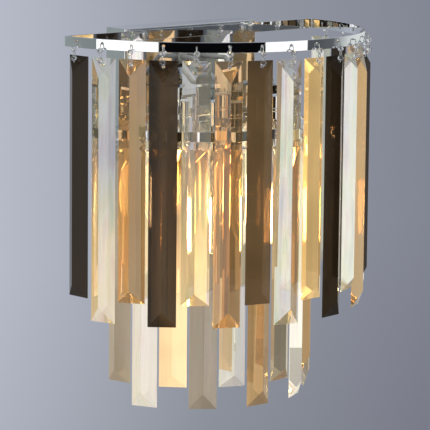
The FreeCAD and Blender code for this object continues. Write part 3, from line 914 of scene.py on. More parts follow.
@dataclass
class CrystalTier:
    """One row of prisms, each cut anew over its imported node."""

    tier: Tier
    wardrobe: Wardrobe
    arris: float = 0.22 * MM
    arris_steps: int = 2
    arris_turn: float = 5.0
    hole: float = 2.4 * MM
    hole_depth: float = 4.5 * MM
    hole_sides: int = 24
    templates: dict[PrismShape, Mesh] = field(default_factory=dict)

    def nodes(self) -> list[str]:
        """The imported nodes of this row, from the left."""
        return sorted(n for n in frame["nodes"] if n.startswith(self.tier.value + "_prism"))

    @staticmethod
    def measure(node: str) -> tuple[PrismShape, Matrix]:
        """The sizes and the place of a packed prism.

        Args:
            node: its name.

        Returns:
            Its shape, and a placement with X along its width, Y out of its back, and its
            origin in the middle of its back's top edge.
        """
        corners = [v.co.copy() for v in frame["nodes"][node].data.vertices]
        top = max(c.z for c in corners)
        foot = min(c.z for c in corners)
        edge = [c for c in corners if c.z > top - SAME]
        start = edge[0]
        stop = max(edge, key=lambda c: (c - start).length)
        across = (stop - start).normalized()
        outward = Vector((-across.y, across.x, 0.0))
        if outward.dot(start - Vector((0.0, 0.0, start.z))) < 0:
            outward, across = -outward, -across
        ridge = max((c - start).dot(outward) for c in corners)
        levels = [c.z for c in corners if (c - start).dot(outward) > ridge - SAME]
        shape = PrismShape(*(round(size, 6) for size in (
            (stop - start).length, ridge, top - foot, top - max(levels), min(levels) - foot)))
        place = Matrix.Translation((start + stop) / 2) @ Matrix(
            (across, outward, Vector((0, 0, 1)))).transposed().to_4x4()
        return shape, place

    def template(self, shape: PrismShape) -> Mesh:
        """The mesh of a prism at the origin: arrises taken off, and the hole drilled.

        Args:
            shape: the prism's sizes.

        Returns:
            The mesh, a pattern for all prisms of these sizes.
        """
        if shape not in self.templates:
            half = shape.width / 2
            shell = Shell()
            shell.add(
                [Vector(c) for c in (
                    (-half, 0, 0), (half, 0, 0), (half, 0, -shape.length),
                    (-half, 0, -shape.length), (0, shape.thickness, -shape.top_bevel),
                    (0, shape.thickness, shape.foot_bevel - shape.length))],
                [(0, 1, 2, 3), (0, 3, 5, 4), (1, 4, 5, 2), (0, 4, 1), (3, 2, 5)],
            )
            body = shell.build("prism_blank")
            round_edges(body.data, self.arris, self.arris_steps, self.arris_turn)
            drill = Shell()
            reach = 2 * shape.thickness
            place = Matrix.Translation((0, 0, -self.hole_depth)) @ Matrix.Rotation(
                math.pi / 2, 4, "X")
            drill.bar(self.hole / 2, -reach, reach, self.hole_sides, place)
            self.templates[shape] = cut(body, drill.build("drill"))
            bpy.data.objects.remove(body)
        return self.templates[shape]

    def build(self) -> None:
        """Cut every prism of the row."""
        for node in self.nodes():
            shape, place = self.measure(node)
            mesh = self.template(shape).copy()
            mesh.transform(place)
            piece = place_mesh(node + "_cut", mesh)
            piece.visible_shadow = False
            tint = Tint(self.wardrobe.worn[node])
            # The inner row wears the lit copies: painted light for the bulbs close by.
            lit = INNER_FINISHES[tint] if self.tier is Tier.INNER else ""
            self.wardrobe.replace(piece, node, lit)


# ---------------------------------------------------------------- bands and links


@dataclass
class Ring:
    """Where a band of the frame lies and what hangs from it."""

    tier: Tier
    sheet: float = 1.5 * MM
    hole_drop: float = 3.0 * MM

    def __post_init__(self) -> None:
        """Read the band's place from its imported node."""
        low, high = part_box(self.tier.value + "_band")
        self.half = high.x
        self.back = high.y
        self.centre = low.y + self.half
        self.top = high.z
        self.height = high.z - low.z
        self.outwards = []
        for joint in frame["joints"]:
            if joint["name"].startswith(self.tier.value):
                axis = Vector(joint["axis"])
                self.outwards.append(Vector((-axis.y, axis.x, 0.0)))

    def hanger(self, outward: Vector) -> Matrix:
        """A placement at the band's centre and top, with X along a hanger's outward way.

        Args:
            outward: the way out of the band at the hanger.

        Returns:
            The placement.
        """
        side = Vector((-outward.y, outward.x, 0.0))
        turn = Matrix((outward, side, Vector((0, 0, 1)))).transposed().to_4x4()
        return Matrix.Translation((0.0, self.centre, self.top)) @ turn


@dataclass
class FlatBand:
    """A polished half-round band of flat strip with rounded edges and drilled holes."""

    ring: Ring
    wardrobe: Wardrobe
    edge: float = 0.35 * MM
    bend: float = 2.5 * MM
    hanging_hole: float = 2.3 * MM
    screw_hole: float = 3.25 * MM
    screw_side: float = 50 * MM
    arc_steps: int = 180
    bend_steps: int = 6
    edge_steps: int = 3
    hole_sides: int = 20

    def line(self, inset: float, level: float) -> Loop:
        """The closed line round the band at an inset from its outer face.

        Args:
            inset: how far inside the outer face it lies.
            level: its height.

        Returns:
            The line's points.
        """
        ring = self.ring
        radius = ring.half - inset
        bend = min(self.bend, 0.9 * (ring.back - ring.centre)) - inset / 2
        side, back = radius - bend, ring.back - inset - bend
        points = (arc((0.0, ring.centre), radius, 180, 360, self.arc_steps)
                  + arc((side, back), bend, 0, 90, self.bend_steps)
                  + arc((-side, back), bend, 90, 180, self.bend_steps))
        return [Vector((x, y, level)) for x, y in points]

    def profile(self) -> Profile:
        """Insets and levels round the strip's section, its edges rounded.

        Returns:
            Pairs of inset and level.
        """
        low, high = self.edge, self.ring.height - self.edge
        near, far = self.edge, self.ring.sheet - self.edge
        corners = (((near, high), 180), ((far, high), 90), ((far, low), 0), ((near, low), -90))
        return [point for corner, start in corners
                for point in arc(corner, self.edge, start, start - 90, self.edge_steps)]

    def build(self) -> None:
        """Bend the strip, drill it and polish it."""
        ring = self.ring
        foot = ring.top - ring.height
        shell = Shell()
        shell.loops([self.line(inset, foot + level) for inset, level in self.profile()], True)
        blank = shell.build("band_blank", 30.0)
        drills = Shell()
        for outward in ring.outwards:
            place = ring.hanger(outward) @ Matrix.Translation(
                (ring.half, 0, -ring.hole_drop)) @ Matrix.Rotation(math.pi / 2, 4, "Y")
            drills.bar(self.hanging_hole / 2, -2 * ring.sheet, ring.sheet, self.hole_sides, place)
        for side in (-1, 1):
            place = standing_out(Vector((side * self.screw_side, ring.back,
                                         ring.top - ring.height / 2)))
            drills.bar(self.screw_hole / 2, -ring.sheet, 2 * ring.sheet, self.hole_sides, place)
        mesh = cut(blank, drills.build("drills"))
        bpy.data.objects.remove(blank)
        name = ring.tier.value + "_band"
        self.wardrobe.replace(place_mesh(name + "_polished", mesh, 30.0), name)


@dataclass
class HangingLinks:
    """The bent wires and the cut beads between a band and its prisms."""

    ring: Ring
    wardrobe: Wardrobe
    wire: float = 0.7 * MM
    standoff: float = 2.6 * MM
    tail: float = 2.2 * MM
    band_gap: float = 0.1 * MM
    prism_gap: float = 0.4 * MM
    setback: float = 2.5 * MM
    pin_drop: float = 17.6 * MM
    upper_bead: float = 8.0 * MM
    lower_bead: float = 14.7 * MM
    bead_width: float = 4.8 * MM
    bead_table: float = 2.4 * MM
    bead_height: float = 3.6 * MM
    bead_sides: int = 8
    bead_girdle: float = 0.80
    bead_shoulder: float = 0.52
    bend_share: float = 0.26
    wire_sides: int = 8
    ring_steps: int = 20
    bend_steps: int = 5

    def hook(self, inner: float, level: float, end: float) -> list[Loop]:
        """A hook: a tail behind, a run outwards through a hole, and a leg to a bead.

        Args:
            inner: how far from the band's centre the tail hangs.
            level: the height of the run, from the band's top.
            end: the height of the leg's end.

        Returns:
            The loops of its wire.
        """
        line = self.ring.half + self.standoff
        points = [Vector((inner, 0, level - self.tail)), Vector((inner, 0, level)),
                  Vector((line, 0, level)), Vector((line, 0, end))]
        path = rounded(points, self.bend_share, self.bend_steps)
        return sweep(path, self.wire / 2, self.wire_sides)

    def joining_ring(self) -> list[Loop]:
        """The small closed ring between the two beads.

        Returns:
            The loops of its wire.
        """
        high = -self.upper_bead - self.bead_height / 2
        low = -self.lower_bead + self.bead_height / 2
        radius = (high - low - self.wire) / 2
        centre = Vector((self.ring.half + self.standoff, 0, (high + low) / 2))
        path = [centre + Vector((0, c.x, c.y)) for c in circle(radius, 0, self.ring_steps)]
        return sweep(path, self.wire / 2, self.wire_sides, closed=True)

    def bead(self, level: float) -> tuple[list[Vector], list[tuple[int, ...]]]:
        """An eight-sided bead whose facets meet in points round its middle.

        Args:
            level: the height of its middle, from the band's top.

        Returns:
            Its corners, and the numbers of the corners round each face.
        """
        line = self.ring.half + self.standoff
        half, sides = self.bead_height / 2, self.bead_sides
        belt, table = self.bead_width / 2, self.bead_table / 2
        turn = math.pi / sides
        girdle, shoulder = self.bead_girdle * belt, self.bead_shoulder * half
        rows = [(table, half, 0.0), (girdle, shoulder, turn), (belt, 0.0, 0.0),
                (girdle, -shoulder, turn), (table, -half, 0.0)]
        corners = [c + Vector((line, 0, level)) for radius, rise, start in rows
                   for c in circle(radius, rise, sides, start)]
        faces = [tuple(range(sides)), tuple(reversed(range(4 * sides, 5 * sides)))]
        for row in range(4):
            for side in range(sides):
                a, b = row * sides + side, row * sides + (side + 1) % sides
                c, d = a + sides, b + sides
                faces += [(a, c, d), (a, d, b)] if row % 2 else [(a, c, b), (b, c, d)]
        return corners, faces

    def build(self) -> None:
        """Bend every wire and string every bead of the row."""
        ring = self.ring
        wires, beads = Shell(), Shell()
        inner_leg = ring.half - ring.sheet - self.band_gap - self.wire / 2
        pin_leg = ring.half - self.setback - self.prism_gap - self.wire / 2
        half = self.bead_height / 2
        for outward in ring.outwards:
            place = ring.hanger(outward)
            wires.loops(self.hook(inner_leg, -ring.hole_drop, -self.upper_bead + half), False,
                        place)
            wires.loops(self.hook(pin_leg, -self.pin_drop, -self.lower_bead - half), False,
                        place)
            wires.loops(self.joining_ring(), True, place)
            for level in (-self.upper_bead, -self.lower_bead):
                beads.add(*self.bead(level), place)
        name = ring.tier.value
        self.wardrobe.replace(wires.build(name + "_links_bent", 50.0), name + "_link_wires")
        self.wardrobe.replace(beads.build(name + "_beads_cut"), name + "_link_beads")


# ---------------------------------------------------------------- wall side


@dataclass
class WallPan:
    """The shallow polished pan on the wall, with what holds it and the frame."""

    wardrobe: Wardrobe
    sheet: float = 1.2 * MM
    bend: float = 1.5 * MM
    least_bend: float = 0.2 * MM
    least_corner: float = 0.15 * MM
    bend_steps: int = 5
    corner_steps: int = 4
    nut_sides: int = 36
    nut_rows: Shares = ((0.94, 0.0), (1.0, 0.05), (1.0, 0.44))
    nut_collar: tuple[float, float] = (0.47, 0.50)
    nut_dome: float = 0.425
    nut_seat: float = 0.52
    dome_steps: int = 8
    head: float = 5.6 * MM
    head_height: float = 1.8 * MM
    head_rows: Shares = ((0.30, 0.98), (0.44, 0.86))
    head_flat: float = 0.7
    shank: float = 2.9 * MM
    pitch: float = 0.5 * MM
    thread: float = 0.22 * MM
    shank_taper: float = 0.3 * MM
    screw_sides: int = 24
    foot_screw_side: float = 7 * MM
    foot_screw_rise: float = 9 * MM

    def pan(self) -> None:
        """Fold the pan: a box without its back, its front edges rounded."""
        low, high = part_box("wall_pan")
        inner = max(self.bend - self.sheet, self.least_bend)
        deep = self.sheet + inner
        profile = (arc((deep, low.y + deep), inner, 270, 180, self.bend_steps)
                   + [(self.sheet, high.y), (0.0, high.y)]
                   + arc((self.bend, low.y + self.bend), self.bend, 180, 270, self.bend_steps))
        loops = [self.frame_line(low, high, inset, depth) for inset, depth in profile]
        self.wardrobe.skin("wall_pan", "folded", 30.0, [loops], False)

    def frame_line(self, low: Vector, high: Vector, inset: float, depth: float) -> Loop:
        """A rectangle with rounded corners, inset from the pan's outline, at a depth.

        Args:
            low: the pan's least corner.
            high: its greatest corner.
            inset: how far inside the outline the line lies.
            depth: its Y.

        Returns:
            The line's points.
        """
        radius = max(self.bend - inset, self.least_corner)
        line = []
        for x, z, start in ((high.x, high.z, 0), (low.x, high.z, 90), (low.x, low.z, 180),
                            (high.x, low.z, 270)):
            middle = (x - math.copysign(inset + radius, x), z - math.copysign(inset + radius, z))
            line += [Vector((across, depth, up)) for across, up in
                     arc(middle, radius, start, start + 90, self.corner_steps)]
        return line

    def cap_nuts(self) -> None:
        """Two bright cap nuts: a hexagon with chamfered corners and a dome on it."""
        low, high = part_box("cap_nuts")
        across, length = high.z - low.z, high.y - low.y
        side = high.x - across / 2
        loops = [six_sided(across * share, rise * length, self.nut_sides)
                 for share, rise in self.nut_rows]
        collar, rise = self.nut_collar
        loops.append(circle(collar * across, rise * length, self.nut_sides))
        for out, up in arc((0.0, 0.0), 1.0, 0, 90, self.dome_steps):
            level = self.nut_seat + (1 - self.nut_seat) * up
            loops.append(circle(max(self.nut_dome * across * out, TIP), length * level,
                                self.nut_sides))
        self.wardrobe.skin("cap_nuts", "domed", 35.0, [loops], False,
                           [standing_out(Vector((x, high.y, 0.0))) for x in (-side, side)])

    def screw(self, length: float) -> list[Loop]:
        """A screw along Z with its seat at 0: a rounded hexagon head and a threaded shank.

        Args:
            length: the shank's length.

        Returns:
            Its loops, from the top of its head to the end of its shank.
        """
        sides, height = self.screw_sides, self.head_height
        core, crest = self.shank / 2 - self.thread, self.shank / 2
        loops = [circle(TIP, height, sides)]
        loops += [circle(share * self.head, rise * height, sides)
                  for share, rise in self.head_rows]
        loops += [six_sided(self.head, self.head_flat * height, sides),
                  six_sided(self.head, 0.0, sides), circle(crest, 0.0, sides)]
        depth = 0.0
        while depth < length - self.pitch:
            loops += [circle(crest, -depth, sides), circle(core, -depth - self.pitch / 2, sides)]
            depth += self.pitch
        return loops + [circle(crest - self.shank_taper, -length, sides)]

    def screws(self) -> None:
        """The screws that hold both bands and the lamp bracket."""
        corners = [v.co for v in frame["nodes"]["frame_screws"].data.vertices]
        shell = Shell()
        for x, z in self.screw_places():
            depths = [c.y for c in corners if max(abs(c.x - x), abs(c.z - z)) < self.head]
            seat = min(depths) + self.head_height
            shell.loops(self.screw(max(depths) - seat), False,
                        standing_out(Vector((x, seat, z))))
        self.wardrobe.replace(shell.build("frame_screws_threaded", 40.0), "frame_screws")

    def screw_places(self) -> Profile:
        """Where the frame screws stand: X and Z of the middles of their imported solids.

        Returns:
            X and Z of each screw.
        """
        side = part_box("frame_screws")[1].x - self.head / 2 / math.cos(math.pi / 6)
        levels = [(low.z + high.z) / 2 for low, high in map(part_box, ("outer_band", "inner_band"))]
        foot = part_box("lamp_bracket")[0].z + self.foot_screw_rise
        return ([(x, level) for x in (-side, side) for level in levels]
                + [(x, foot) for x in (-self.foot_screw_side, self.foot_screw_side)])

    def build(self) -> None:
        """Make the pan and its fixings."""
        self.pan()
        self.cap_nuts()
        self.screws()
        self.wardrobe.keep("wall_bar", "bar_studs", "frame_nuts", "earth_stud", "earth_nut")


# ---------------------------------------------------------------- lamps


@dataclass
class Lamps:
    """The bracket, and per lamp a threaded tube, nut, cup, holder, contact and bulb."""

    wardrobe: Wardrobe
    sides: int = 64
    bore: float = 5.05 * MM
    cup_sheet: float = 1.0 * MM
    crown: float = 3.0 * MM
    crown_steps: int = 6
    lip_rise: float = 1.2 * MM
    lip_steps: int = 5
    cup_lines: tuple[float, ...] = (0.72, 0.66)
    line_width: float = 1.0 * MM
    line_depth: float = 0.35 * MM
    holder: float = 12.3 * MM
    holder_edge: float = 2 * MM
    socket: float = 7.2 * MM
    socket_depth: float = 20 * MM
    web_depth: float = 22 * MM
    ribs: int = 7
    rib_pitch: float = 1.9 * MM
    rib_rise: float = 4 * MM
    rib_depth: float = 0.6 * MM
    neck: float = 8.4 * MM
    neck_length: float = 14 * MM
    waist_drop: float = 34 * MM
    shoulder: float = 36 * MM
    glass_wall: float = 0.6 * MM
    neck_steps: int = 14
    shoulder_steps: int = 8
    tip_steps: int = 24
    tip_power: float = 1.15
    tip_end: float = 0.03 * MM
    stick_top: float = -22 * MM
    stick_foot: float = -61 * MM
    stick: float = 1.7 * MM
    stick_spread: float = 4.4 * MM
    stick_lean: float = 0.8 * MM
    stick_turns: tuple[int, ...] = (25, 115, 205, 295)
    stick_sides: int = 12
    stub: float = 1 * MM
    stem: Shares = ((0.3 * MM, 13 * MM), (6.5 * MM, 13 * MM), (6.2 * MM, 11 * MM),
                    (3.2 * MM, 7 * MM), (2.0 * MM, 0), (1.6 * MM, -12 * MM),
                    (1.0 * MM, -18 * MM), (0.3 * MM, -18 * MM))
    stem_sides: int = 24
    stem_post: float = 0.2 * MM
    stem_wire: float = 0.16 * MM
    stem_wire_sides: int = 6
    cap: float = 6.75 * MM
    cap_pitch: float = 2.8 * MM
    cap_wave: float = 0.35 * MM
    cap_steps: int = 36
    tube: float = 5.0 * MM
    tube_bore: float = 3.6 * MM
    tube_pitch: float = 1.0 * MM
    tube_thread: float = 0.3 * MM
    tube_chamfer: float = 0.4 * MM
    nut_across: float = 14 * MM
    nut_ends: tuple[float, float] = (0.46, 0.47)
    nut_chamfers: tuple[float, float] = (0.5 * MM, 0.4 * MM)
    nut_sides: int = 48

    @staticmethod
    def places() -> list[Vector]:
        """The feet of the two lamps' centre lines, at level 0.

        Returns:
            The left foot, then the right one.
        """
        low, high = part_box("lamp_cup_right")
        middle = (low + high) / 2
        return [Vector((side * middle.x, middle.y, 0.0)) for side in (-1, 1)]

    def turned(self, node: str, done: str, profile: Profile, places: list[Vector],
               closed: bool, smooth: float = 35.0) -> None:
        """Turn one form at each place and let the piece stand for a node."""
        self.wardrobe.skin(node, done, smooth, [lathe(profile, self.sides)], closed,
                           [Matrix.Translation(place) for place in places])

    def cup(self, low: Vector, high: Vector) -> Profile:
        """A spun cup's section: a rolled lip, a rounded crown and two turned lines.

        Args:
            low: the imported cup's least corner.
            high: its greatest corner.

        Returns:
            Pairs of radius and level.
        """
        outer, sheet, crown = (high.y - low.y) / 2, self.cup_sheet, self.crown
        profile = [(self.bore, high.z)] + arc((outer - crown, high.z - crown), crown, 90, 0,
                                              self.crown_steps)
        for level in self.cup_lines:
            line = low.z + level * (high.z - low.z)
            profile += [(outer, line + self.line_width / 2), (outer - self.line_depth, line),
                        (outer, line - self.line_width / 2)]
        lip = arc((outer - sheet / 2, low.z + sheet / 2), sheet / 2, 0, -180, self.lip_steps)[1:]
        return profile + [(outer, low.z + self.lip_rise)] + lip + [
            (outer - sheet, high.z - crown), (outer - crown, high.z - sheet),
            (self.bore, high.z - sheet)]

    def moulded(self, low: Vector, high: Vector) -> Profile:
        """A moulded holder's section: a ribbed skirt and an open socket.

        Args:
            low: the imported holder's least corner.
            high: its greatest corner.

        Returns:
            Pairs of radius and level.
        """
        outer, edge, rib = self.holder, self.holder_edge, self.rib_depth
        profile = [(self.bore, high.z), (outer - edge, high.z), (outer, high.z - edge)]
        for number in reversed(range(self.ribs)):
            level = low.z + self.rib_rise + number * self.rib_pitch
            profile += [(outer, level + rib), (outer - rib, level + rib / 2),
                        (outer - rib, level - rib / 2), (outer, level - rib)]
        return profile + [(outer, low.z + rib), (outer - rib, low.z), (self.socket, low.z),
                          (self.socket, low.z + self.socket_depth),
                          (self.bore, low.z + self.web_depth)]

    def cups_and_holders(self) -> None:
        """Spin the cups and mould the holders, each a piece of its own."""
        for kind, section, done in (("lamp_cup", self.cup, "spun"),
                                    ("lamp_holder", self.moulded, "moulded")):
            for side, place in zip(("_left", "_right"), self.places()):
                self.turned(kind + side, done, section(*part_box(kind + side)), [place], True)

    def bulb_profile(self) -> Profile:
        """A candle bulb's outline: a neck, a swelling shoulder and a long rounded tip.

        Returns:
            Pairs of radius and level, from the neck to the tip.
        """
        low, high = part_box("bulb_domes")
        half = (high.y - low.y) / 2
        waist = high.z - self.waist_drop
        profile = []
        for step in range(self.neck_steps + 1):
            share = step / self.neck_steps
            level = high.z - share * self.neck_length
            full = half * math.sqrt(max(0.0, 1 - ((level - waist) / self.shoulder) ** 2))
            ease = share * share * (3 - 2 * share)
            profile.append((self.neck + (max(full, self.neck) - self.neck) * ease, level))
        for step in range(1, self.shoulder_steps + 1):
            level = high.z - self.neck_length - step / self.shoulder_steps * (
                self.waist_drop - self.neck_length)
            profile.append((half * math.sqrt(1 - ((level - waist) / self.shoulder) ** 2), level))
        for out, up in arc((0.0, 0.0), 1.0, 0, 90, self.tip_steps)[1:]:
            profile.append((max(half * max(out, 0.0) ** self.tip_power, self.tip_end),
                            waist - (waist - low.z) * up))
        return profile

    def bulbs(self) -> None:
        """Blown glass envelopes with a thin wall."""
        outer, wall = self.bulb_profile(), self.glass_wall
        inner = [(max(radius - wall, TIP), level) for radius, level in outer[1:-1]]
        inner.append((TIP, outer[-1][1] + wall))
        self.turned("bulb_domes", "blown", outer + inner[::-1], self.places(), True, 60.0)

    def filaments(self) -> None:
        """The lit sticks of each bulb, and the stem and wires that hold them; the stem, glass in a bulb, is given
        the bright wire finish.
        """
        top, foot = Vector((0, 0, self.stick_top)), Vector((0, 0, self.stick_foot))
        stub = Vector((0, 0, self.stub))
        sticks, stems = Shell(), Shell()
        for place in self.places():
            hub, base = place + top + 5 * stub, place + foot - 2 * stub
            for turn in self.stick_turns:
                out = Vector((math.cos(math.radians(turn)), math.sin(math.radians(turn)), 0))
                upper = place + out * self.stick_spread + top
                lower = place + out * (self.stick_spread + self.stick_lean) + foot
                sticks.loops(sweep([upper, lower], self.stick, self.stick_sides), False)
                for path in ([hub, upper + stub, upper], [lower, lower - stub, base]):
                    stems.loops(sweep(path, self.stem_wire, self.stem_wire_sides), False)
            stems.loops(sweep([hub + stub, base], self.stem_post, self.stem_wire_sides), False)
            stems.loops(lathe(self.stem, self.stem_sides), False,
                        Matrix.Translation(place))
        for piece, finish in ((sticks.build("bulb_filaments", 50.0), "filament"),
                              (stems.build("bulb_stems", 50.0), "link_wire")):
            self.wardrobe.add(piece, finish, "fixture", "bulb_glass")

    def caps(self) -> None:
        """Threaded bulb caps."""
        low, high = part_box("bulb_caps")
        radius, steps = self.cap, self.cap_steps
        profile = [(0.4 * radius, high.z), (0.8 * radius, high.z - 0.8 * MM)]
        for step in range(steps + 1):
            level = high.z - 1.4 * MM - (high.z - low.z - 1.8 * MM) * step / steps
            wave = self.cap_wave * math.cos(2 * math.pi * (high.z - level) / self.cap_pitch)
            profile.append((radius - 0.3 * MM + wave, level))
        profile.append((radius - 0.4 * MM, low.z))
        self.turned("bulb_caps", "threaded", profile, self.places(), False, 60.0)

    def tubes(self) -> None:
        """Threaded tubes with a bore."""
        low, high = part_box("lamp_nipples")
        outer, bore, length = self.tube, self.tube_bore, high.z - low.z
        profile = [(bore, high.z), (outer - self.tube_chamfer, high.z)]
        steps = int(length / self.tube_pitch * 2)
        for step in range(1, steps):
            profile.append((outer - (0.0 if step % 2 else self.tube_thread),
                            high.z - length * step / steps))
        profile += [(outer - self.tube_chamfer, low.z), (bore, low.z)]
        shell = Shell()
        for place in self.places():
            shell.loops(lathe(profile, self.sides), True, Matrix.Translation(place))
        self.wardrobe.replace(shell.build("lamp_tubes_threaded", 20.0), "lamp_nipples")

    def nuts(self) -> None:
        """Thin hexagon nuts with chamfered corners and a round bore."""
        low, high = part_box("nipple_nuts")
        across, bore, sides = self.nut_across, self.bore, self.nut_sides
        upper, lower = self.nut_ends
        loops = [circle(bore, high.z, sides), circle(upper * across, high.z, sides),
                 six_sided(across, high.z - self.nut_chamfers[0], sides),
                 six_sided(across, low.z + self.nut_chamfers[1], sides),
                 circle(lower * across, low.z, sides), circle(bore, low.z, sides)]
        self.wardrobe.skin("nipple_nuts", "chamfered", 25.0, [loops], True,
                           [Matrix.Translation(place) for place in self.places()])

    def build(self) -> None:
        """Make every part of both lamps."""
        self.cups_and_holders()
        self.bulbs()
        self.filaments()
        self.caps()
        self.tubes()
        self.nuts()
        self.wardrobe.keep("lamp_bracket", "socket_contacts")


# ---------------------------------------------------------------- wiring


@dataclass
class Wiring:
    """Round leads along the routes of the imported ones, their grommets, and the terminals."""

    wardrobe: Wardrobe
    lead: float = 3.6 * MM
    earth: float = 2.4 * MM
    rise: float = 14 * MM
    entry: float = 10 * MM
    run_in: float = 12 * MM
    grommet_bore: float = 1.85 * MM
    grommet_sleeve: float = 2.8 * MM
    grommet_sides: int = 32
    bend_share: float = 0.45
    bend_steps: int = 10
    sides: int = 16

    def lay(self, node: str, size: float, routes: list[list[tuple[float, ...]]]) -> None:
        """Lay round leads along their corner points and let them stand for a node.

        Args:
            node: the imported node.
            size: how thick the leads are.
            routes: the corner points of each lead.
        """
        paths = [rounded([Vector(stop) for stop in route], self.bend_share, self.bend_steps)
                 for route in routes]
        self.wardrobe.skin(node, "round", 50.0,
                           [sweep(path, size / 2, self.sides) for path in paths], False)

    def leads(self) -> None:
        """The two lamp leads, from each holder to the terminal block."""
        low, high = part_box("lamp_leads")
        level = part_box("lamp_nipples")[1].z + self.rise
        inside = high.y - self.lead / 2
        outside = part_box("wall_pan")[0].y - self.run_in
        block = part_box("terminal_block")[0].z
        routes = []
        for place in Lamps.places():
            entry = math.copysign(self.entry, place.x)
            routes.append([(place.x, place.y, low.z), (place.x, place.y, level),
                           (entry, outside, level), (entry, inside, level),
                           (entry, inside, block)])
        self.lay("lamp_leads", self.lead, routes)

    def earth_lead(self) -> None:
        """The earth lead from the block's side down to its stud."""
        low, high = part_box("earth_lead")
        middle = (low.y + high.y) / 2
        level, side = high.z - self.earth / 2, high.x - self.earth / 2
        self.lay("earth_lead", self.earth,
                 [[(low.x, middle, level), (side, middle, level), (side, middle, low.z)]])

    def grommets(self) -> None:
        """Soft grommets: a flange with a rounded rim and a sleeve through the pan."""
        low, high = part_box("lead_grommets")
        flange, depth = (high.z - low.z) / 2, high.y - low.y
        bore, sleeve = self.grommet_bore, self.grommet_sleeve
        profile = [(bore, depth), (sleeve, depth), (sleeve, 1.0 * MM),
                   (flange * 0.97, 0.9 * MM), (flange, 0.5 * MM), (flange * 0.9, 0.1 * MM),
                   (2.4 * MM, 0.0), (bore, 0.3 * MM)]
        places = [Matrix.Translation((x, low.y, (low.z + high.z) / 2)) @ Matrix.Rotation(
            -math.pi / 2, 4, "X") for x in (-self.entry, self.entry)]
        flanged = lathe(profile, self.grommet_sides)
        self.wardrobe.skin("lead_grommets", "soft", 40.0, [flanged], True, places)

    def build(self) -> None:
        """Lay the leads and dress the terminals."""
        self.leads()
        self.earth_lead()
        self.grommets()
        self.wardrobe.keep("terminal_block", "terminal_screws")


# ---------------------------------------------------------------- studio


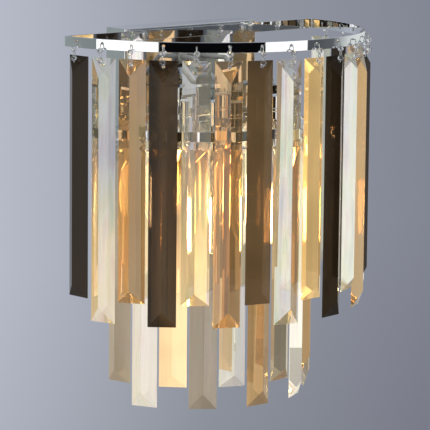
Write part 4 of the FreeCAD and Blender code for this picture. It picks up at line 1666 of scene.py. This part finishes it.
@dataclass
class Studio:
    """The wall, floor, lamps, world and camera about the sconce."""

    camera_place: tuple[float, float, float] = (-1.3782, -1.5068, 0.2740)
    heading: float = 43.364
    pitch: float = 8.902
    roll: float = 0.58
    focal_pixels: float = 2734.6
    clip: tuple[float, float] = (0.05, 50.0)
    sensor: float = 36.0
    wall_gap: float = 0.35
    floor_level: float = -0.75
    softboxes: tuple[tuple[str, tuple[float, float], tuple[float, float], float], ...] = (
        ("left softbox", (-5.18, -2.11), (-0.99, 0.33), 2.2),
        ("right softbox", (0.97, -1.46), (0.07, -1.77), 1.8))
    radiance: float = 1.0
    lamp_tint: tuple[float, float, float] = (1.0, 0.99, 0.97)
    reach: float = 3.0
    wall_top: float = 2.5
    wall_low: tuple[float, float] = (-0.42, -0.15)
    wall_dim: float = 0.82
    pale_floor: tuple[int, int, int] = (186, 188, 194)
    pale_patches: tuple[int, int, int] = (180, 182, 188)
    overhead: tuple[int, int, int] = (176, 180, 188)
    bounces: int = 24
    glossy_bounces: int = 8
    diffuse_bounces: int = 3
    # Painted light across the backdrop, by X: its tones from left to right.
    wall_tones: Tones = (
        (-1.4, (120, 126, 126)), (-0.36, (150, 158, 158)), (-0.08, (160, 166, 170)),
        (0.10, (184, 188, 201)), (0.36, (149, 154, 165)), (0.68, (131, 134, 147)),
        (0.95, (222, 226, 225)), (3.0, (224, 227, 226)))
    room: Tones = (
        (-180, (120, 126, 128)), (-164, (120, 126, 128)), (-158, (9, 9, 11)),
        (-88, (9, 9, 11)), (-84, (58, 60, 62)),
        (-53, (82, 86, 90)), (-28, (96, 100, 104)), (-19, (176, 180, 180)),
        (-8, (222, 226, 225)), (35, (222, 226, 225)), (60, (150, 158, 158)),
        (180, (150, 158, 158)))

    def camera(self) -> None:
        """Put the camera where the photograph was taken from."""
        data = bpy.data.cameras.new("camera")
        data.sensor_width = self.sensor
        data.lens = self.focal_pixels / PHOTO_PIXELS * data.sensor_width
        data.clip_start, data.clip_end = self.clip
        eye = bpy.data.objects.new("camera", data)
        bpy.context.scene.collection.objects.link(eye)
        turn = (Matrix.Rotation(math.radians(-self.heading), 4, "Z")
                @ Matrix.Rotation(math.radians(90 - self.pitch), 4, "X")
                @ Matrix.Rotation(math.radians(self.roll), 4, "Z"))
        eye.matrix_world = Matrix.Translation(self.camera_place) @ turn
        bpy.context.scene.camera = eye

    def backdrop(self) -> None:
        """A plain wall whose soft grey gradient and darker foot are painted light, open to the lens from behind.
        """
        y, side = self.wall_gap, self.reach
        made, graph, shader = material("backdrop with painted light", Roughness=0.9)
        parts = graph.spot()[1]
        # Painted light on the wall: tones that change across it and a dimmer foot, also shown as a flat glow to
        # camera, glossy and transmission rays.
        dim = graph.span(parts[2], *self.wall_low, self.wall_dim, 1.0)
        colour = graph.blend(1.0, graph.ramp(parts[0], self.wall_tones), graph.node(
            "CombineColor", None, Red=dim, Green=dim, Blue=dim).outputs[0], "MULTIPLY")
        graph.join(shader, Base_Color=colour)
        flat = graph.node("Emission", None, Color=colour, Strength=1.0)
        path = graph.node("LightPath").outputs
        seen = graph.math("ADD", path["Is Camera Ray"], graph.math(
            "ADD", path["Is Glossy Ray"], path["Is Transmission Ray"]), clamp=True)
        front = graph.node("MixShader", None, _0=seen, _1=shader.outputs[0],
                           _2=flat.outputs[0])
        back = graph.node("NewGeometry").outputs["Backfacing"]
        clear = graph.node("BsdfTransparent")
        whole = graph.node("MixShader", None, _0=back, _1=front.outputs[0],
                           _2=clear.outputs[0])
        graph.join(made.node_tree.nodes["Material Output"], Surface=whole.outputs[0])
        self.sheet("backdrop", made, (-side, y, self.floor_level), (side, y, self.floor_level),
                   (side, y, self.wall_top), (-side, y, self.wall_top))

    def floor(self) -> None:
        """A plain pale floor well below the sconce."""
        z, side = self.floor_level, self.reach
        made, graph, shader = material("pale floor", Roughness=0.8)
        cloud = graph.span(graph.noise(graph.place(), 3.0, 3.0), 0.3, 0.7, 0.0, 1.0)
        graph.join(shader, Base_Color=graph.blend(cloud, linear(*self.pale_floor),
                                                  linear(*self.pale_patches)))
        self.sheet("floor", made, (-side, -side, z), (side, -side, z), (side, side, z),
                   (-side, side, z))

    @staticmethod
    def sheet(name: str, made: Material, *corners: tuple[float, ...]) -> None:
        """Put up one flat stage piece in a material.

        Args:
            name: its name.
            made: its material.
            corners: its corners, in order.
        """
        shell = Shell()
        shell.add([Vector(corner) for corner in corners], [(0, 1, 2, 3)])
        piece = shell.build(name)
        piece.data.materials.append(made)

    def softbox(self, name: str, left: tuple[float, float], right: tuple[float, float],
                height: float) -> None:
        """Stand a large soft lamp upright over a line on the floor.

        Args:
            name: the lamp's name.
            left: X and Y of its left end, as seen from the sconce.
            right: X and Y of its right end.
            height: its height; its middle is level with the sconce's.
        """
        start, stop = Vector((*left, 0.0)), Vector((*right, 0.0))
        along, up = (start - stop).normalized(), Vector((0.0, 0.0, 1.0))
        data = bpy.data.lights.new(name, "AREA")
        data.shape = "RECTANGLE"
        data.size, data.size_y = (stop - start).length, height
        data.energy = 4 * self.radiance * data.size * data.size_y
        data.color = self.lamp_tint
        lamp = bpy.data.objects.new(name, data)
        bpy.context.scene.collection.objects.link(lamp)
        turn = Matrix((along, up, along.cross(up))).transposed().to_4x4()
        lamp.matrix_world = Matrix.Translation((start + stop) / 2) @ turn

    def world(self) -> None:
        """A quiet room by direction: dark behind the camera, pale to the right and above."""
        made = bpy.data.worlds.new("room")
        bpy.context.scene.world = made
        made.use_nodes = True
        graph = Graph(made.node_tree)
        sky = made.node_tree.nodes["Background"]
        parts = graph.node("SeparateXYZ", None,
                           Vector=graph.node("TexCoord").outputs["Generated"]).outputs
        degrees = graph.math("MULTIPLY", graph.math("ARCTAN2", parts[1], parts[0]),
                             math.degrees(1))
        above = graph.span(parts[2], 0.1, 0.8, 0.0, 1.0)
        graph.join(sky, Strength=1.0, Color=graph.blend(
            above, graph.ramp(degrees, self.room), linear(*self.overhead)))

    def build(self) -> None:
        """Set up the whole studio."""
        self.camera()
        self.backdrop()
        self.floor()
        self.world()
        for softbox in self.softboxes:
            self.softbox(*softbox)
        scene = bpy.context.scene
        scene.view_settings.view_transform = "Standard"
        scene.cycles.max_bounces = self.bounces
        scene.cycles.transmission_bounces = self.bounces
        scene.cycles.glossy_bounces = self.glossy_bounces
        scene.cycles.diffuse_bounces = self.diffuse_bounces
        scene.cycles.caustics_refractive = False
        scene.cycles.caustics_reflective = False


def main() -> None:
    """Dress the sconce and set up the studio."""
    logging.basicConfig(level=logging.INFO, format="%(name)s: %(message)s")
    wardrobe = Wardrobe()
    for tier in Tier:
        ring = Ring(tier)
        CrystalTier(tier, wardrobe).build()
        FlatBand(ring, wardrobe).build()
        HangingLinks(ring, wardrobe).build()
    WallPan(wardrobe).build()
    Lamps(wardrobe).build()
    Wiring(wardrobe).build()
    Studio().build()
    bpy.context.view_layer.update()


if __name__ == "__main__":
    main()
